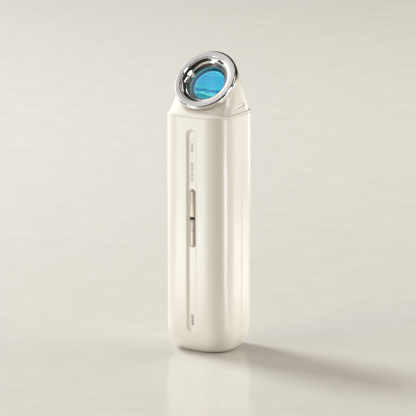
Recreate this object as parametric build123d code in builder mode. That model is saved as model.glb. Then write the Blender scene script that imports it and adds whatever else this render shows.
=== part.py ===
"""A hand-held acne treatment light: an ivory casing with a tilted chrome treatment head.

The device stands on its base. +Z is up, the control groove faces -Y, and the origin is
the centre of the underside. All sizes are in millimetres.
"""

from build123d import *

import os
from math import asin, cos, radians, sin, sqrt

os.makedirs("parts", exist_ok=True)

# Casing
body_width = 44.0
body_depth = 40.0
body_corner = 12.0
body_height = 144.0
wall = 2.0
seam_y = 1.5
rounding_height = 15.6
rounding_slope = 66.0
foot_width = 33.6
foot_depth = 28.2
foot_corner = 12.6
lip_height = 1.2
fit_gap = 0.1

# Foot pad, floor and the bracket above it
pad_proud = 0.4
pad_sunk = 1.0
pad_margin = 1.4
floor_thickness = 2.0
bracket_width = 26.0
bracket_depth = 22.0
bracket_height = 7.0
bracket_corner = 3.0
base_screw_x = 8.5
base_screw_y = 7.5

# Control groove
groove_width = 7.5
groove_floor_width = 4.2
groove_depth = 1.0
groove_top_gap = 7.0
groove_bottom_gap = 13.0
backing = 1.0
backing_width = 14.0

# Buttons and the frame that guides them
button_width = 3.6
button_bar_length = 35.2
button_bar_height = 82.8
button_split = 1.2
button_proud = 0.75
button_crown = 0.7
button_gap = 0.2
button_travel = 0.5
press_rise = 1.9
flange_margin = 1.2
flange_thickness = 0.8
stem_radius = 1.2
guide_rib = 1.0
guide_depth = 1.6

# Push switches
switch_width = 4.5
switch_height = 3.0
plunger_radius = 1.0
plunger_length = 2.6
plunger_stand = 1.2
plunger_clearance = 0.06

# Indicator lights
indicator_radius = 0.85
indicator_top_gap = 6.2
indicator_pitch = 11.6
indicator_flange_radius = 1.6
indicator_flange_thickness = 0.8
indicator_tail_radius = 1.0
led_height = 0.8
led_width = 1.6
led_air_gap = 0.3

# Main board
board_depth = 10.0
board_thickness = 1.6
board_width = 31.0
board_bottom = 27.0
board_top_gap = 8.0
board_corner = 2.0
board_screw_x = 12.0
board_screw_inset = 12.0
chip_height = 1.0
chip_width = 8.0
small_chip_width = 4.5
small_chip_spacing = 15.0
small_chip_row_spacing = 34.0
plug_height = 1.8
plug_width = 8.0
plug_length = 3.4
plug_inset = 2.0

# Screws, all of one size
screw_radius = 1.0
screw_head_radius = 1.9
screw_head_height = 1.2
screw_length = 7.0
screw_clearance = 0.05
screw_drive = 0.9
screw_drive_depth = 0.7
boss_radius = 2.6

# Battery
cell_radius = 9.15
cell_length = 65.0
cell_bottom = 38.0
cell_cap_radius = 2.8
cell_cap_height = 1.2
cradle_wall = 1.4
cradle_gap = 0.15
cradle_ear = 6.4
cradle_ear_height = 8.0
cradle_screw_inset = 14.0
contact_thickness = 0.4
contact_width = 8.0

# Charging inlet
port_height = 24.0
port_width = 8.94
port_thickness = 3.26
port_length = 7.3
port_wall = 0.3
port_gap = 0.2
port_sunk = 0.3
tongue_width = 6.7
tongue_thickness = 0.7
tongue_length = 4.6
charge_board_width = 16.0
charge_board_length = 11.0
charge_board_thickness = 1.0
shelf_height = 2.4
shelf_width = 3.0

# Shoulder ring and neck
shoulder_height = 1.5
shoulder_round = 0.8
shoulder_foot_round = 0.35
shoulder_rim = 4.0
neck_plate = 2.0
neck_gap = 0.15
seal_thickness = 0.5
seal_width = 1.6
neck_window_width = 12.0
neck_window_depth = 9.0
neck_window_margin = 2.0
corner_boss_length = 12.0
corner_boss_merge = 0.4

# Hood, and the catches that hold it through a slot in each side
head_side_step = 1.0
head_face_step = 1.5
head_corner_step = 1.4
head_wall = 1.5
head_step = 1.0
hood_back_foot_length = 9.0
hood_back_top_length = 3.0
hood_front_foot_length = 0.8
hood_front_top_length = 1.0
hood_inner_foot_length = 0.2
hood_inner_top_length = 3.0
catch_length = 9.4
catch_height = 1.8
catch_rise = 3.9
catch_back = 0.8
catch_lean = 3.0
catch_sunk = 0.65
catch_gap = 0.15
catch_arm = 1.2
catch_arm_width = 12.0
catch_arm_above = 2.0

# Treatment ring
ring_tilt = 41.5
ring_radius = 20.0
ring_face_width = 4.0
ring_front_gap = 1.95
ring_foot_gap = 5.72
ring_thickness = 2.3
ring_edge = 1.1
ring_lip = 0.2
ring_lip_thickness = 0.5
spigot_wall = 0.6
spigot_length = 2.9
collar_thickness = 1.3
collar_step = 0.15

# Cup, glass and light source, stacked behind the ring
cup_width = 4.4
lens_depth = 4.2
lens_thickness = 2.9
lens_chamfer = 0.25
lens_gap = 0.1
bezel_lip = 0.4
bezel_wall = 0.5
bezel_overlap = 0.3
bezel_skirt = 1.2
cup_bulge = 1.0
cup_foot_edge = 0.3
cup_wall_top = 2.1
cup_wall_foot = 1.9
barrel_wall = 1.0
barrel_flange = 0.5
seat_width = 1.4
seat_thickness = 1.0
gasket_thickness = 0.5
filter_thickness = 0.9
led_chip_gap = 0.3
led_chip_height = 0.6
led_chip_size = 2.0
led_chip_ring_radius = 4.6
led_board_thickness = 1.2
retainer_thickness = 0.5
retainer_width = 1.6
flex_width = 6.0
flex_thickness = 0.3
flex_bend_radius = 1.2
flex_lead_length = 1.0

# Heat sink
sink_edge_gap = 0.4
sink_plate = 1.8
fin_thickness = 1.0
fin_pitch = 3.4
fin_count = 6
fin_wall_gap = 1.2
fin_top_inset = 3.2
fin_foot_inset = 1.7
sink_foot = 1.2
sink_post = 1.2
sink_post_radius = 2.0
sink_screw_back = 9.0

# Heights and depths worked out from the sizes above
pad_top = pad_proud + pad_sunk
floor_top = pad_top + floor_thickness
groove_top = body_height - groove_top_gap
groove_length = groove_top - groove_bottom_gap
groove_middle = (groove_top + groove_bottom_gap) / 2
groove_flank = (groove_width - groove_floor_width) / 2
backing_back = wall + backing
key_length = (button_bar_length - button_split) / 2
key_offset = (key_length + button_split) / 2
key_front = groove_depth - button_proud
flange_front = backing_back + fit_gap
flange_back = flange_front + flange_thickness
switch_front = board_depth - switch_height
plunger_front = switch_front - plunger_stand
board_back = board_depth + board_thickness
board_top = body_height - board_top_gap
neck_top = body_height - seal_thickness
neck_bottom = neck_top - neck_plate
head_bottom = body_height + shoulder_height
catch_middle = head_bottom + catch_rise
cell_y = body_depth / 2 - wall - fit_gap - cradle_wall - cradle_gap - cell_radius
cell_top = cell_bottom + cell_length
head_width = body_width - 2 * head_side_step
head_depth = body_depth - 2 * head_face_step
head_corner = body_corner - head_corner_step
ring_bore = ring_radius - ring_face_width
lens_radius = ring_bore - cup_width
sink_radius = lens_radius - sink_edge_gap
port_floor = port_height - port_thickness / 2

# Places that come in rows or pairs
indicator_heights = [groove_top - indicator_top_gap - step * indicator_pitch for step in range(2)]
board_screw_rows = (board_bottom + board_screw_inset, board_top - board_screw_inset)
board_screws_at = [(side * board_screw_x, row) for side in (-1, 1) for row in board_screw_rows]
base_screws_at = [(x * base_screw_x, y * base_screw_y) for x in (-1, 1) for y in (-1, 1)]
corner_reach = (body_corner - wall - boss_radius + corner_boss_merge) * cos(radians(45))
corner_boss_x = body_width / 2 - body_corner + corner_reach
corner_boss_y = body_depth / 2 - body_corner + corner_reach
corner_bosses_at = [(x * corner_boss_x, y * corner_boss_y) for x in (-1, 1) for y in (-1, 1)]
cradle_ear_x = cell_radius + cradle_gap + cradle_wall + cradle_ear / 2
cradle_rows = (cell_bottom + cradle_screw_inset, cell_top - cradle_screw_inset)
cradle_screws_at = [(side * cradle_ear_x, row) for side in (-1, 1) for row in cradle_rows]
sink_screws_at = [(-2 * fin_pitch, sink_screw_back), (2 * fin_pitch, sink_screw_back)]

# The treatment ring's own frame: its face is tilted back and its axis points at the skin
ring_out = Vector(0, -cos(radians(ring_tilt)), sin(radians(ring_tilt)))
ring_up = Vector(0, sin(radians(ring_tilt)), cos(radians(ring_tilt)))
ring_foot = Vector(0, ring_front_gap - body_depth / 2, body_height + ring_foot_gap)
ring_centre = ring_foot + ring_up * ring_radius
ring_axis = Axis(ring_centre, ring_out)
ring_profile = Plane(origin=ring_centre, x_dir=(1, 0, 0), z_dir=-ring_up)

# Depths of the optical stack behind the ring's face, and its radii
ring_back = ring_thickness + collar_thickness
stack_flange_back = lens_depth + barrel_flange
stack_seat = lens_depth + lens_thickness + gasket_thickness
stack_filter = stack_seat + seat_thickness
stack_chips = stack_filter + filter_thickness + led_chip_gap
stack_board = stack_chips + led_chip_height
stack_sink = stack_board + led_board_thickness
stack_end = stack_sink + sink_plate
pocket_radius = lens_radius + lens_gap
bezel_radius = pocket_radius + bezel_wall
barrel_radius = pocket_radius + barrel_wall
cup_foot_radius = bezel_radius + fit_gap

# The flat cable hangs straight down into its plug, and the light board's tab ends above it
flex_y = board_back - body_depth / 2 + plug_height / 2
tab_middle = ring_centre - ring_out * (stack_board + led_board_thickness / 2)
tab_reach = (tab_middle.Y - flex_y) / ring_up.Y - flex_lead_length


def rounding(height):
    """Share of the bottom's draw-in: 0 where the rounding starts, 1 at the casing's lowest edge."""
    drop = (rounding_height - height) / (rounding_height - pad_proud)
    sine = sin(radians(rounding_slope))
    return (1 - sqrt(1 - (drop * sine) ** 2)) / (1 - sqrt(1 - sine**2))


def body_form(inset, low):
    """The casing's outside, drawn in by inset all round and cut off level at height low."""
    steps = 6
    sine = sin(radians(rounding_slope))
    start = asin(sine * (rounding_height - low) / (rounding_height - pad_proud))
    with BuildPart() as form:
        for step in range(steps + 1):
            drop = sin(start * (1 - step / steps)) / sine
            height = rounding_height - (rounding_height - pad_proud) * drop
            share = rounding(height)
            with BuildSketch(Plane.XY.offset(height)):
                RectangleRounded(
                    body_width - (body_width - foot_width) * share - 2 * inset,
                    body_depth - (body_depth - foot_depth) * share - 2 * inset,
                    body_corner - (body_corner - foot_corner) * share - inset,
                )
        loft()
        with BuildSketch(Plane.XY.offset(rounding_height)):
            RectangleRounded(body_width - 2 * inset, body_depth - 2 * inset, body_corner - inset)
        extrude(amount=body_height - rounding_height)
    return form.part


def behind_front(depth):
    """A plane facing the user, this deep behind the casing's front face; its y is the height."""
    return Plane.XZ.offset(body_depth / 2 - depth)


def slab(front_y, back_y):
    """A block right across the casing between two places along Y."""
    with BuildPart() as block:
        with BuildSketch(Plane.XZ.offset(-front_y)):
            with Locations((0, body_height / 2)):
                Rectangle(2 * body_width, 2 * body_height)
        extrude(amount=front_y - back_y)
    return block.part


def curve_point(points, share):
    """A point on the cubic curve with these four control points."""
    rest = 1 - share
    weights = (rest**3, 3 * rest**2 * share, 3 * rest * share**2, share**3)
    total = Vector(0, 0, 0)
    for point, weight in zip(points, weights):
        total += point * weight
    return total


def hood_form(inset, front_foot_length, front_top_length):
    """The hood as a loft of tilting rounded rectangles, from the shoulder to the ring's back."""
    top_radius = ring_radius - head_step
    middle = ring_centre - ring_out * ring_back
    lift = Vector(0, 0, 1)
    back_foot = Vector(0, head_depth / 2 - inset, head_bottom)
    front_foot = Vector(0, inset - head_depth / 2, head_bottom)
    back_top = middle + ring_up * (top_radius - inset)
    front_top = middle - ring_up * (top_radius - inset)
    back_curve = (
        back_foot,
        back_foot + lift * hood_back_foot_length,
        back_top - ring_out * hood_back_top_length,
        back_top,
    )
    front_curve = (
        front_foot,
        front_foot + lift * front_foot_length,
        front_top - ring_out * front_top_length,
        front_top,
    )
    steps = 4
    round_end = 0.05
    with BuildPart() as form:
        for step in range(steps + 1):
            share = step / steps
            back = curve_point(back_curve, share)
            front = curve_point(front_curve, share)
            along = (back - front).normalized()
            width = head_width + (2 * top_radius - head_width) * share
            corner = head_corner + (top_radius - round_end - head_corner) * share
            place = Plane(origin=(back + front) / 2, x_dir=(1, 0, 0), z_dir=Vector(1, 0, 0).cross(along))
            with BuildSketch(place):
                RectangleRounded(width - 2 * inset, (back - front).length, corner - inset)
        loft()
    return form.part


def screw_set(seat, places):
    """Screws whose heads sit on the plane called seat, with shanks going against its normal."""
    with BuildPart() as screws:
        with BuildSketch(seat):
            with Locations(places):
                Circle(screw_head_radius)
        extrude(amount=screw_head_height)
        with BuildSketch(seat):
            with Locations(places):
                Circle(screw_radius)
        extrude(amount=-screw_length)
        with BuildSketch(seat.offset(screw_head_height)):
            with Locations(places):
                RegularPolygon(screw_drive, 6)
        extrude(amount=-screw_drive_depth, mode=Mode.SUBTRACT)
    return screws


outer_form = body_form(0, pad_proud)
inner_form = body_form(wall, floor_top)
seam_plane = Plane.XZ.offset(-seam_y)
floor_middle = pad_top + floor_thickness / 2
half_wall_form = body_form(wall / 2, floor_middle)
lip_room = half_wall_form & slab(seam_y - lip_height - fit_gap, seam_y)
lip_form = body_form(wall / 2 + fit_gap, floor_middle + fit_gap) - inner_form
seam_lip = lip_form & slab(seam_y - lip_height, seam_y)
floor_seat = Plane.XY.offset(pad_top + screw_head_height)
floor_screw_seat = Plane(origin=floor_seat.origin, x_dir=(1, 0, 0), z_dir=(0, 0, -1))

# Cuts that both shells share under the foot: the pad's recess and the four screw seats
with BuildPart() as foot_cut:
    with BuildSketch():
        RectangleRounded(
            foot_width - 2 * (pad_margin - fit_gap),
            foot_depth - 2 * (pad_margin - fit_gap),
            foot_corner - pad_margin + fit_gap,
        )
    extrude(amount=pad_top)
    with BuildSketch(Plane.XY.offset(pad_top)):
        with Locations(base_screws_at):
            Circle(screw_head_radius + fit_gap)
    extrude(amount=screw_head_height)
    with BuildSketch(floor_seat):
        with Locations(base_screws_at):
            Circle(screw_radius + screw_clearance)
    extrude(amount=floor_thickness)

# Front shell: the half with the control groove. It carries the frame that guides the
# buttons, the bosses of the main board and two corner bosses for the neck.
with BuildPart() as front_shell:
    add(outer_form)
    add(inner_form, mode=Mode.SUBTRACT)
    with BuildSketch(behind_front(wall)):
        with Locations((0, groove_middle)):
            SlotOverall(groove_length, backing_width, rotation=90)
    extrude(amount=-backing)
    with BuildSketch(behind_front(wall)):
        with Locations(board_screws_at):
            Circle(boss_radius)
    extrude(amount=wall - board_depth)
    with BuildSketch(Plane.XY.offset(neck_bottom)):
        with Locations(corner_bosses_at):
            Circle(boss_radius)
    extrude(amount=-corner_boss_length)
    with BuildSketch(behind_front(backing_back)):
        with Locations((0, button_bar_height)):
            Rectangle(
                button_width + 2 * (flange_margin + button_gap + guide_rib),
                button_bar_length + 2 * (button_gap + guide_rib),
            )
            Rectangle(
                button_width + 2 * (flange_margin + button_gap),
                button_bar_length + 2 * button_gap,
                mode=Mode.SUBTRACT,
            )
    extrude(amount=-guide_depth)
    split(bisect_by=seam_plane, keep=Keep.TOP)
    add(lip_room, mode=Mode.SUBTRACT)
    add(foot_cut.part, mode=Mode.SUBTRACT)
    with BuildSketch(behind_front(-groove_depth / 2)):
        with Locations((0, groove_middle)):
            SlotOverall(groove_length + groove_flank, groove_width + groove_flank, rotation=90)
    with BuildSketch(behind_front(groove_depth)):
        with Locations((0, groove_middle)):
            SlotOverall(groove_length - 2 * groove_flank, groove_floor_width, rotation=90)
    loft(ruled=True, mode=Mode.SUBTRACT)
    with BuildSketch(behind_front(groove_depth)):
        with Locations((0, button_bar_height)):
            SlotOverall(button_bar_length + 2 * button_gap, button_width + 2 * button_gap, rotation=90)
        with Locations([(0, height) for height in indicator_heights]):
            Circle(indicator_radius + fit_gap)
    extrude(amount=groove_depth - backing_back, mode=Mode.SUBTRACT)
    with BuildSketch(behind_front(board_depth)):
        with Locations(board_screws_at):
            Circle(screw_radius + screw_clearance)
    extrude(amount=screw_length - board_thickness + fit_gap, mode=Mode.SUBTRACT)
    with BuildSketch(Plane.XY.offset(neck_bottom)):
        with Locations(corner_bosses_at):
            Circle(screw_radius + screw_clearance)
    extrude(amount=-screw_length, mode=Mode.SUBTRACT)
front_shell.part.label = "front_shell"
export_step(front_shell.part, "parts/front_shell.step")

# Posts for the battery cradle's screws, trimmed below to end inside the rear wall
cradle_seat = Plane.XZ.offset(-(cell_y + cradle_wall))
with BuildPart() as cradle_posts:
    with BuildSketch(cradle_seat):
        with Locations(cradle_screws_at):
            Circle(boss_radius)
    extrude(amount=cell_y + cradle_wall - body_depth / 2)
cradle_posts_trimmed = cradle_posts.part & half_wall_form

# Rear shell: the plain back half. A lip on its edge runs inside the front shell. It has
# posts for the battery cradle, two shelves for the charging board and the inlet's opening.
port_face = Plane.XZ.offset(-body_depth / 2)
with BuildPart() as rear_shell:
    add(outer_form)
    add(inner_form, mode=Mode.SUBTRACT)
    with BuildSketch(Plane.XY.offset(neck_bottom)):
        with Locations(corner_bosses_at):
            Circle(boss_radius)
    extrude(amount=-corner_boss_length)
    add(cradle_posts_trimmed)
    with BuildSketch(Plane.XZ.offset(wall / 2 - body_depth / 2)):
        for side in (-1, 1):
            with Locations((side * (charge_board_width - shelf_width) / 2, 0)):
                with Locations((0, port_floor - charge_board_thickness - shelf_height / 2)):
                    Rectangle(shelf_width, shelf_height)
    extrude(amount=charge_board_length)
    split(bisect_by=seam_plane, keep=Keep.BOTTOM)
    add(seam_lip)
    add(foot_cut.part, mode=Mode.SUBTRACT)
    with BuildSketch(port_face):
        with Locations((0, port_height)):
            SlotOverall(port_width + 2 * port_gap, port_thickness + 2 * port_gap)
    extrude(amount=2 * wall, mode=Mode.SUBTRACT)
    with BuildSketch(cradle_seat):
        with Locations(cradle_screws_at):
            Circle(screw_radius + screw_clearance)
    extrude(amount=-screw_length, mode=Mode.SUBTRACT)
    with BuildSketch(Plane.XY.offset(neck_bottom)):
        with Locations(corner_bosses_at):
            Circle(screw_radius + screw_clearance)
    extrude(amount=-screw_length, mode=Mode.SUBTRACT)
rear_shell.part.label = "rear_shell"
export_step(rear_shell.part, "parts/rear_shell.step")

# Foot pad: soft plate under the floor that hides the screws
with BuildPart() as base_pad:
    with BuildSketch():
        RectangleRounded(
            foot_width - 2 * pad_margin,
            foot_depth - 2 * pad_margin,
            foot_corner - pad_margin,
        )
    extrude(amount=pad_top)
base_pad.part.label = "base_pad"
export_step(base_pad.part, "parts/base_pad.step")

# Base bracket: a block across the seam that ties the two floors together
with BuildPart() as base_bracket:
    with BuildSketch(Plane.XY.offset(floor_top)):
        RectangleRounded(bracket_width, bracket_depth, bracket_corner)
        with Locations(base_screws_at):
            Circle(screw_radius + screw_clearance, mode=Mode.SUBTRACT)
    extrude(amount=bracket_height)
base_bracket.part.label = "base_bracket"
export_step(base_bracket.part, "parts/base_bracket.step")
base_screws = screw_set(floor_screw_seat, [(x, -y) for x, y in base_screws_at])
base_screws.part.label = "base_screws"
export_step(base_screws.part, "parts/base_screws.step")

# Shoulder ring: the rounded bead between the casing and the hood
with BuildPart() as shoulder_ring:
    with BuildSketch(Plane.XY.offset(body_height)):
        RectangleRounded(body_width, body_depth, body_corner)
        RectangleRounded(
            body_width - 2 * shoulder_rim,
            body_depth - 2 * shoulder_rim,
            body_corner - shoulder_rim,
            mode=Mode.SUBTRACT,
        )
    extrude(amount=shoulder_height)
    fillet(shoulder_ring.faces().sort_by(Axis.Z)[-1].outer_wire().edges(), shoulder_round)
    fillet(shoulder_ring.faces().sort_by(Axis.Z)[0].outer_wire().edges(), shoulder_foot_round)
shoulder_ring.part.label = "shoulder_ring"
export_step(shoulder_ring.part, "parts/shoulder_ring.step")

# Neck frame: closes the casing's top, with two springy arms whose catches hold the hood
neck_inset = wall + neck_gap
catch_arm_x = body_width / 2 - shoulder_rim - neck_gap
with BuildPart() as neck_frame:
    with BuildSketch(Plane.XY.offset(neck_bottom)):
        RectangleRounded(
            body_width - 2 * neck_inset, body_depth - 2 * neck_inset, body_corner - neck_inset
        )
        with Locations((0, flex_y - neck_window_margin + neck_window_depth / 2)):
            Rectangle(neck_window_width, neck_window_depth, mode=Mode.SUBTRACT)
        with Locations(corner_bosses_at + sink_screws_at):
            Circle(screw_radius + screw_clearance, mode=Mode.SUBTRACT)
    extrude(amount=neck_plate)
    with BuildSketch(Plane.XY.offset(neck_top)):
        with Locations(corner_bosses_at):
            Circle(screw_head_radius + fit_gap)
    extrude(amount=-screw_head_height, mode=Mode.SUBTRACT)
    with BuildSketch(Plane.XY.offset(neck_top)):
        with Locations(sink_screws_at):
            Circle(sink_post_radius)
            Circle(screw_radius + screw_clearance, mode=Mode.SUBTRACT)
    extrude(amount=sink_post)
    with BuildSketch(Plane.YZ.offset(catch_arm_x)):
        with Locations((catch_back, (neck_top + catch_middle + catch_arm_above) / 2)):
            Rectangle(catch_arm_width, catch_middle + catch_arm_above - neck_top)
    extrude(amount=-catch_arm)
    with BuildSketch(Plane.YZ.offset(catch_arm_x)):
        with Locations((catch_back, catch_middle)):
            SlotOverall(catch_length - 2 * catch_gap, catch_height - 2 * catch_gap, rotation=catch_lean)
    extrude(amount=head_width / 2 - catch_sunk - catch_arm_x)
    split(bisect_by=Plane.YZ, keep=Keep.TOP)
    mirror(about=Plane.YZ)
neck_frame.part.label = "neck_frame"
export_step(neck_frame.part, "parts/neck_frame.step")

# Neck seal: a flat gasket under the shoulder ring
with BuildPart() as neck_seal:
    with BuildSketch(Plane.XY.offset(neck_top)):
        RectangleRounded(
            body_width - 2 * neck_inset, body_depth - 2 * neck_inset, body_corner - neck_inset
        )
        RectangleRounded(
            body_width - 2 * (neck_inset + seal_width),
            body_depth - 2 * (neck_inset + seal_width),
            body_corner - neck_inset - seal_width,
            mode=Mode.SUBTRACT,
        )
    extrude(amount=seal_thickness)
neck_seal.part.label = "neck_seal"
export_step(neck_seal.part, "parts/neck_seal.step")
neck_screws = screw_set(Plane.XY.offset(neck_top - screw_head_height), corner_bosses_at)
neck_screws.part.label = "neck_screws"
export_step(neck_screws.part, "parts/neck_screws.step")

# Hood: leans forward from the shoulder to the ring, with a slot in each side for a catch
hood_outside = hood_form(0, hood_front_foot_length, hood_front_top_length)
hood_inside = hood_form(head_wall, hood_inner_foot_length, hood_inner_top_length)
with BuildPart() as head_shell:
    add(hood_outside)
    add(hood_inside, mode=Mode.SUBTRACT)
    with BuildSketch(Plane.YZ):
        with Locations((catch_back, catch_middle)):
            SlotOverall(catch_length, catch_height, rotation=catch_lean)
    extrude(amount=body_width, both=True, mode=Mode.SUBTRACT)
head_shell.part.label = "head_shell"
export_step(head_shell.part, "parts/head_shell.step")

# Treatment ring: polished ring with a flat face, a rolled edge and a spigot behind it
spigot_radius = ring_bore + spigot_wall
edge_drop = ring_edge * (1 - cos(radians(45)))
with BuildPart() as treatment_ring:
    with BuildSketch(ring_profile):
        with BuildLine():
            Polyline(
                (ring_bore - ring_lip, 0),
                (ring_radius - ring_edge, 0),
            )
            ThreePointArc(
                (ring_radius - ring_edge, 0),
                (ring_radius - edge_drop, -edge_drop),
                (ring_radius, -ring_edge),
            )
            Polyline(
                (ring_radius, -ring_edge),
                (ring_radius, -ring_thickness),
                (spigot_radius, -ring_thickness),
                (spigot_radius, -ring_thickness - spigot_length),
                (ring_bore, -ring_thickness - spigot_length),
                (ring_bore, -ring_lip_thickness),
                (ring_bore - ring_lip, -ring_lip_thickness),
                (ring_bore - ring_lip, 0),
            )
        make_face()
    revolve(axis=ring_axis)
treatment_ring.part.label = "treatment_ring"
export_step(treatment_ring.part, "parts/treatment_ring.step")

# Ring collar: thin champagne-coloured spacer between the ring and the hood
with BuildPart() as ring_collar:
    with BuildSketch(ring_profile):
        with BuildLine():
            Polyline(
                (spigot_radius + fit_gap, -ring_thickness),
                (ring_radius - collar_step, -ring_thickness),
                (ring_radius - collar_step, -ring_back),
                (spigot_radius + fit_gap, -ring_back),
                close=True,
            )
        make_face()
    revolve(axis=ring_axis)
ring_collar.part.label = "ring_collar"
export_step(ring_collar.part, "parts/ring_collar.step")

# Reflector cup: polished roll that curves in from the ring's lip to the glass
cup_radius = ring_bore - fit_gap
cup_mouth = (ring_bore - ring_lip, -ring_lip_thickness)
cup_foot = (cup_foot_radius, cup_foot_edge - lens_depth)
cup_chord = Vector(cup_mouth[0] - cup_foot[0], cup_mouth[1] - cup_foot[1])
cup_side = Vector(-cup_chord.Y, cup_chord.X).normalized()
cup_middle = Vector(*cup_foot) + cup_chord / 2 + cup_side * cup_bulge
with BuildPart() as reflector_cup:
    with BuildSketch(ring_profile):
        with BuildLine():
            ThreePointArc(cup_foot, (cup_middle.X, cup_middle.Y), cup_mouth)
            Polyline(
                cup_mouth,
                (cup_radius, -ring_lip_thickness),
                (cup_radius, -ring_lip_thickness - cup_wall_top),
                (cup_foot_radius + cup_wall_foot, -lens_depth),
                (cup_foot_radius, -lens_depth),
                cup_foot,
            )
        make_face()
    revolve(axis=ring_axis)
reflector_cup.part.label = "reflector_cup"
export_step(reflector_cup.part, "parts/reflector_cup.step")

# Lens bezel: rose-gold ring whose lip holds the glass in the barrel
with BuildPart() as lens_bezel:
    with BuildSketch(ring_profile):
        with BuildLine():
            Polyline(
                (lens_radius - bezel_overlap, -lens_depth),
                (lens_radius - bezel_overlap, bezel_lip - lens_depth),
                (bezel_radius, bezel_lip - lens_depth),
                (bezel_radius, -lens_depth - bezel_skirt),
                (pocket_radius, -lens_depth - bezel_skirt),
                (pocket_radius, -lens_depth),
                close=True,
            )
        make_face()
    revolve(axis=ring_axis)
lens_bezel.part.label = "lens_bezel"
export_step(lens_bezel.part, "parts/lens_bezel.step")

# The round pieces of the stack are discs and rings on planes square to the ring's axis
def stack_plane(depth):
    """A plane facing out of the ring, this deep behind its face; its y runs up the face."""
    return Plane(origin=ring_centre - ring_out * depth, x_dir=(1, 0, 0), z_dir=ring_out)


# Treatment lens: thick tinted glass window
with BuildPart() as treatment_lens:
    with BuildSketch(stack_plane(lens_depth)):
        Circle(lens_radius)
    extrude(amount=-lens_thickness)
    chamfer(treatment_lens.edges(), lens_chamfer)
treatment_lens.part.label = "treatment_lens"
export_step(treatment_lens.part, "parts/treatment_lens.step")

# Lens gasket: silicone ring that the glass presses on
with BuildPart() as lens_gasket:
    with BuildSketch(stack_plane(lens_depth + lens_thickness)):
        Circle(lens_radius)
        Circle(lens_radius - seat_width, mode=Mode.SUBTRACT)
    extrude(amount=-gasket_thickness)
lens_gasket.part.label = "lens_gasket"
export_step(lens_gasket.part, "parts/lens_gasket.step")

# Filter disc: coloured glass behind the barrel's seat
with BuildPart() as filter_disc:
    with BuildSketch(stack_plane(stack_filter)):
        Circle(lens_radius)
    extrude(amount=-filter_thickness)
filter_disc.part.label = "filter_disc"
export_step(filter_disc.part, "parts/filter_disc.step")

# Lens barrel: black tube that holds glass, filter and light source in line. A notch in
# its lower side lets the light board's tab out.
with BuildPart() as lens_barrel:
    with BuildSketch(ring_profile):
        with BuildLine():
            Polyline(
                (cup_foot_radius, -lens_depth),
                (ring_bore - fit_gap, -lens_depth),
                (ring_bore - fit_gap, -stack_flange_back),
                (barrel_radius, -stack_flange_back),
                (barrel_radius, -stack_sink),
                (pocket_radius, -stack_sink),
                (pocket_radius, -stack_filter),
                (lens_radius - seat_width, -stack_filter),
                (lens_radius - seat_width, -stack_seat),
                (pocket_radius, -stack_seat),
                (pocket_radius, -lens_depth - bezel_skirt - fit_gap),
                (cup_foot_radius, -lens_depth - bezel_skirt - fit_gap),
                close=True,
            )
        make_face()
    revolve(axis=ring_axis)
    with BuildSketch(stack_plane(stack_sink)):
        with Locations((0, -barrel_radius)):
            Rectangle(flex_width + 2 * fit_gap, 4 * barrel_wall)
    extrude(amount=led_board_thickness + fit_gap, mode=Mode.SUBTRACT)
lens_barrel.part.label = "lens_barrel"
export_step(lens_barrel.part, "parts/lens_barrel.step")

# Retaining ring: screwed into the spigot behind the barrel's flange
with BuildPart() as retaining_ring:
    with BuildSketch(stack_plane(stack_flange_back)):
        Circle(ring_bore - fit_gap)
        Circle(ring_bore - fit_gap - retainer_width, mode=Mode.SUBTRACT)
    extrude(amount=-retainer_thickness)
retaining_ring.part.label = "retaining_ring"
export_step(retaining_ring.part, "parts/retaining_ring.step")

# Light board with its tab, and the light chips on it
with BuildPart() as led_board:
    with BuildSketch(stack_plane(stack_board)):
        Circle(lens_radius)
        with Locations((0, -tab_reach / 2)):
            Rectangle(flex_width, tab_reach)
    extrude(amount=-led_board_thickness)
led_board.part.label = "led_board"
export_step(led_board.part, "parts/led_board.step")

with BuildPart() as led_chips:
    with BuildSketch(stack_plane(stack_board)):
        Rectangle(led_chip_size, led_chip_size)
        with PolarLocations(led_chip_ring_radius, 6):
            Rectangle(led_chip_size, led_chip_size)
    extrude(amount=led_chip_height)
led_chips.part.label = "led_chips"
export_step(led_chips.part, "parts/led_chips.step")

# Heat sink: plate against the light board, with upright fins standing on a foot
fin_rise = ring_up * (sink_radius - fin_top_inset)
fin_drop = ring_up * (sink_radius - fin_foot_inset)
plate_back = ring_centre - ring_out * stack_end
plate_middle = plate_back + ring_out * (sink_plate / 2)
fin_top_point = plate_back + fin_rise
fin_low_point = plate_back - fin_drop
fin_front_point = plate_middle - fin_drop
fin_crest_point = plate_middle + fin_rise
foot_low = neck_top + sink_post
foot_back = head_depth / 2 - head_wall - fin_wall_gap
fins_at = [(step - (fin_count - 1) / 2) * fin_pitch for step in range(fin_count)]
with BuildPart() as heat_sink:
    with BuildSketch(stack_plane(stack_sink)):
        Circle(sink_radius)
    extrude(amount=-sink_plate)
    for fin_x in fins_at:
        with BuildSketch(Plane.YZ.offset(fin_x)):
            with BuildLine():
                Polyline(
                    (fin_crest_point.Y, fin_crest_point.Z),
                    (fin_top_point.Y, fin_top_point.Z),
                    (foot_back, foot_low + sink_foot),
                    (foot_back, foot_low),
                    (fin_low_point.Y, foot_low),
                    (fin_low_point.Y, fin_low_point.Z),
                    (fin_front_point.Y, fin_front_point.Z),
                    close=True,
                )
            make_face()
        extrude(amount=fin_thickness / 2, both=True)
    with BuildSketch(Plane.XY.offset(foot_low)):
        with Locations((0, (foot_back + fin_low_point.Y) / 2)):
            Rectangle(fin_pitch * (fin_count - 1) + fin_thickness, foot_back - fin_low_point.Y)
    extrude(amount=sink_foot)
    with BuildSketch(Plane.XY.offset(foot_low)):
        with Locations(sink_screws_at):
            Circle(screw_radius + screw_clearance)
    extrude(amount=sink_foot, mode=Mode.SUBTRACT)
heat_sink.part.label = "heat_sink"
export_step(heat_sink.part, "parts/heat_sink.step")
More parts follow.
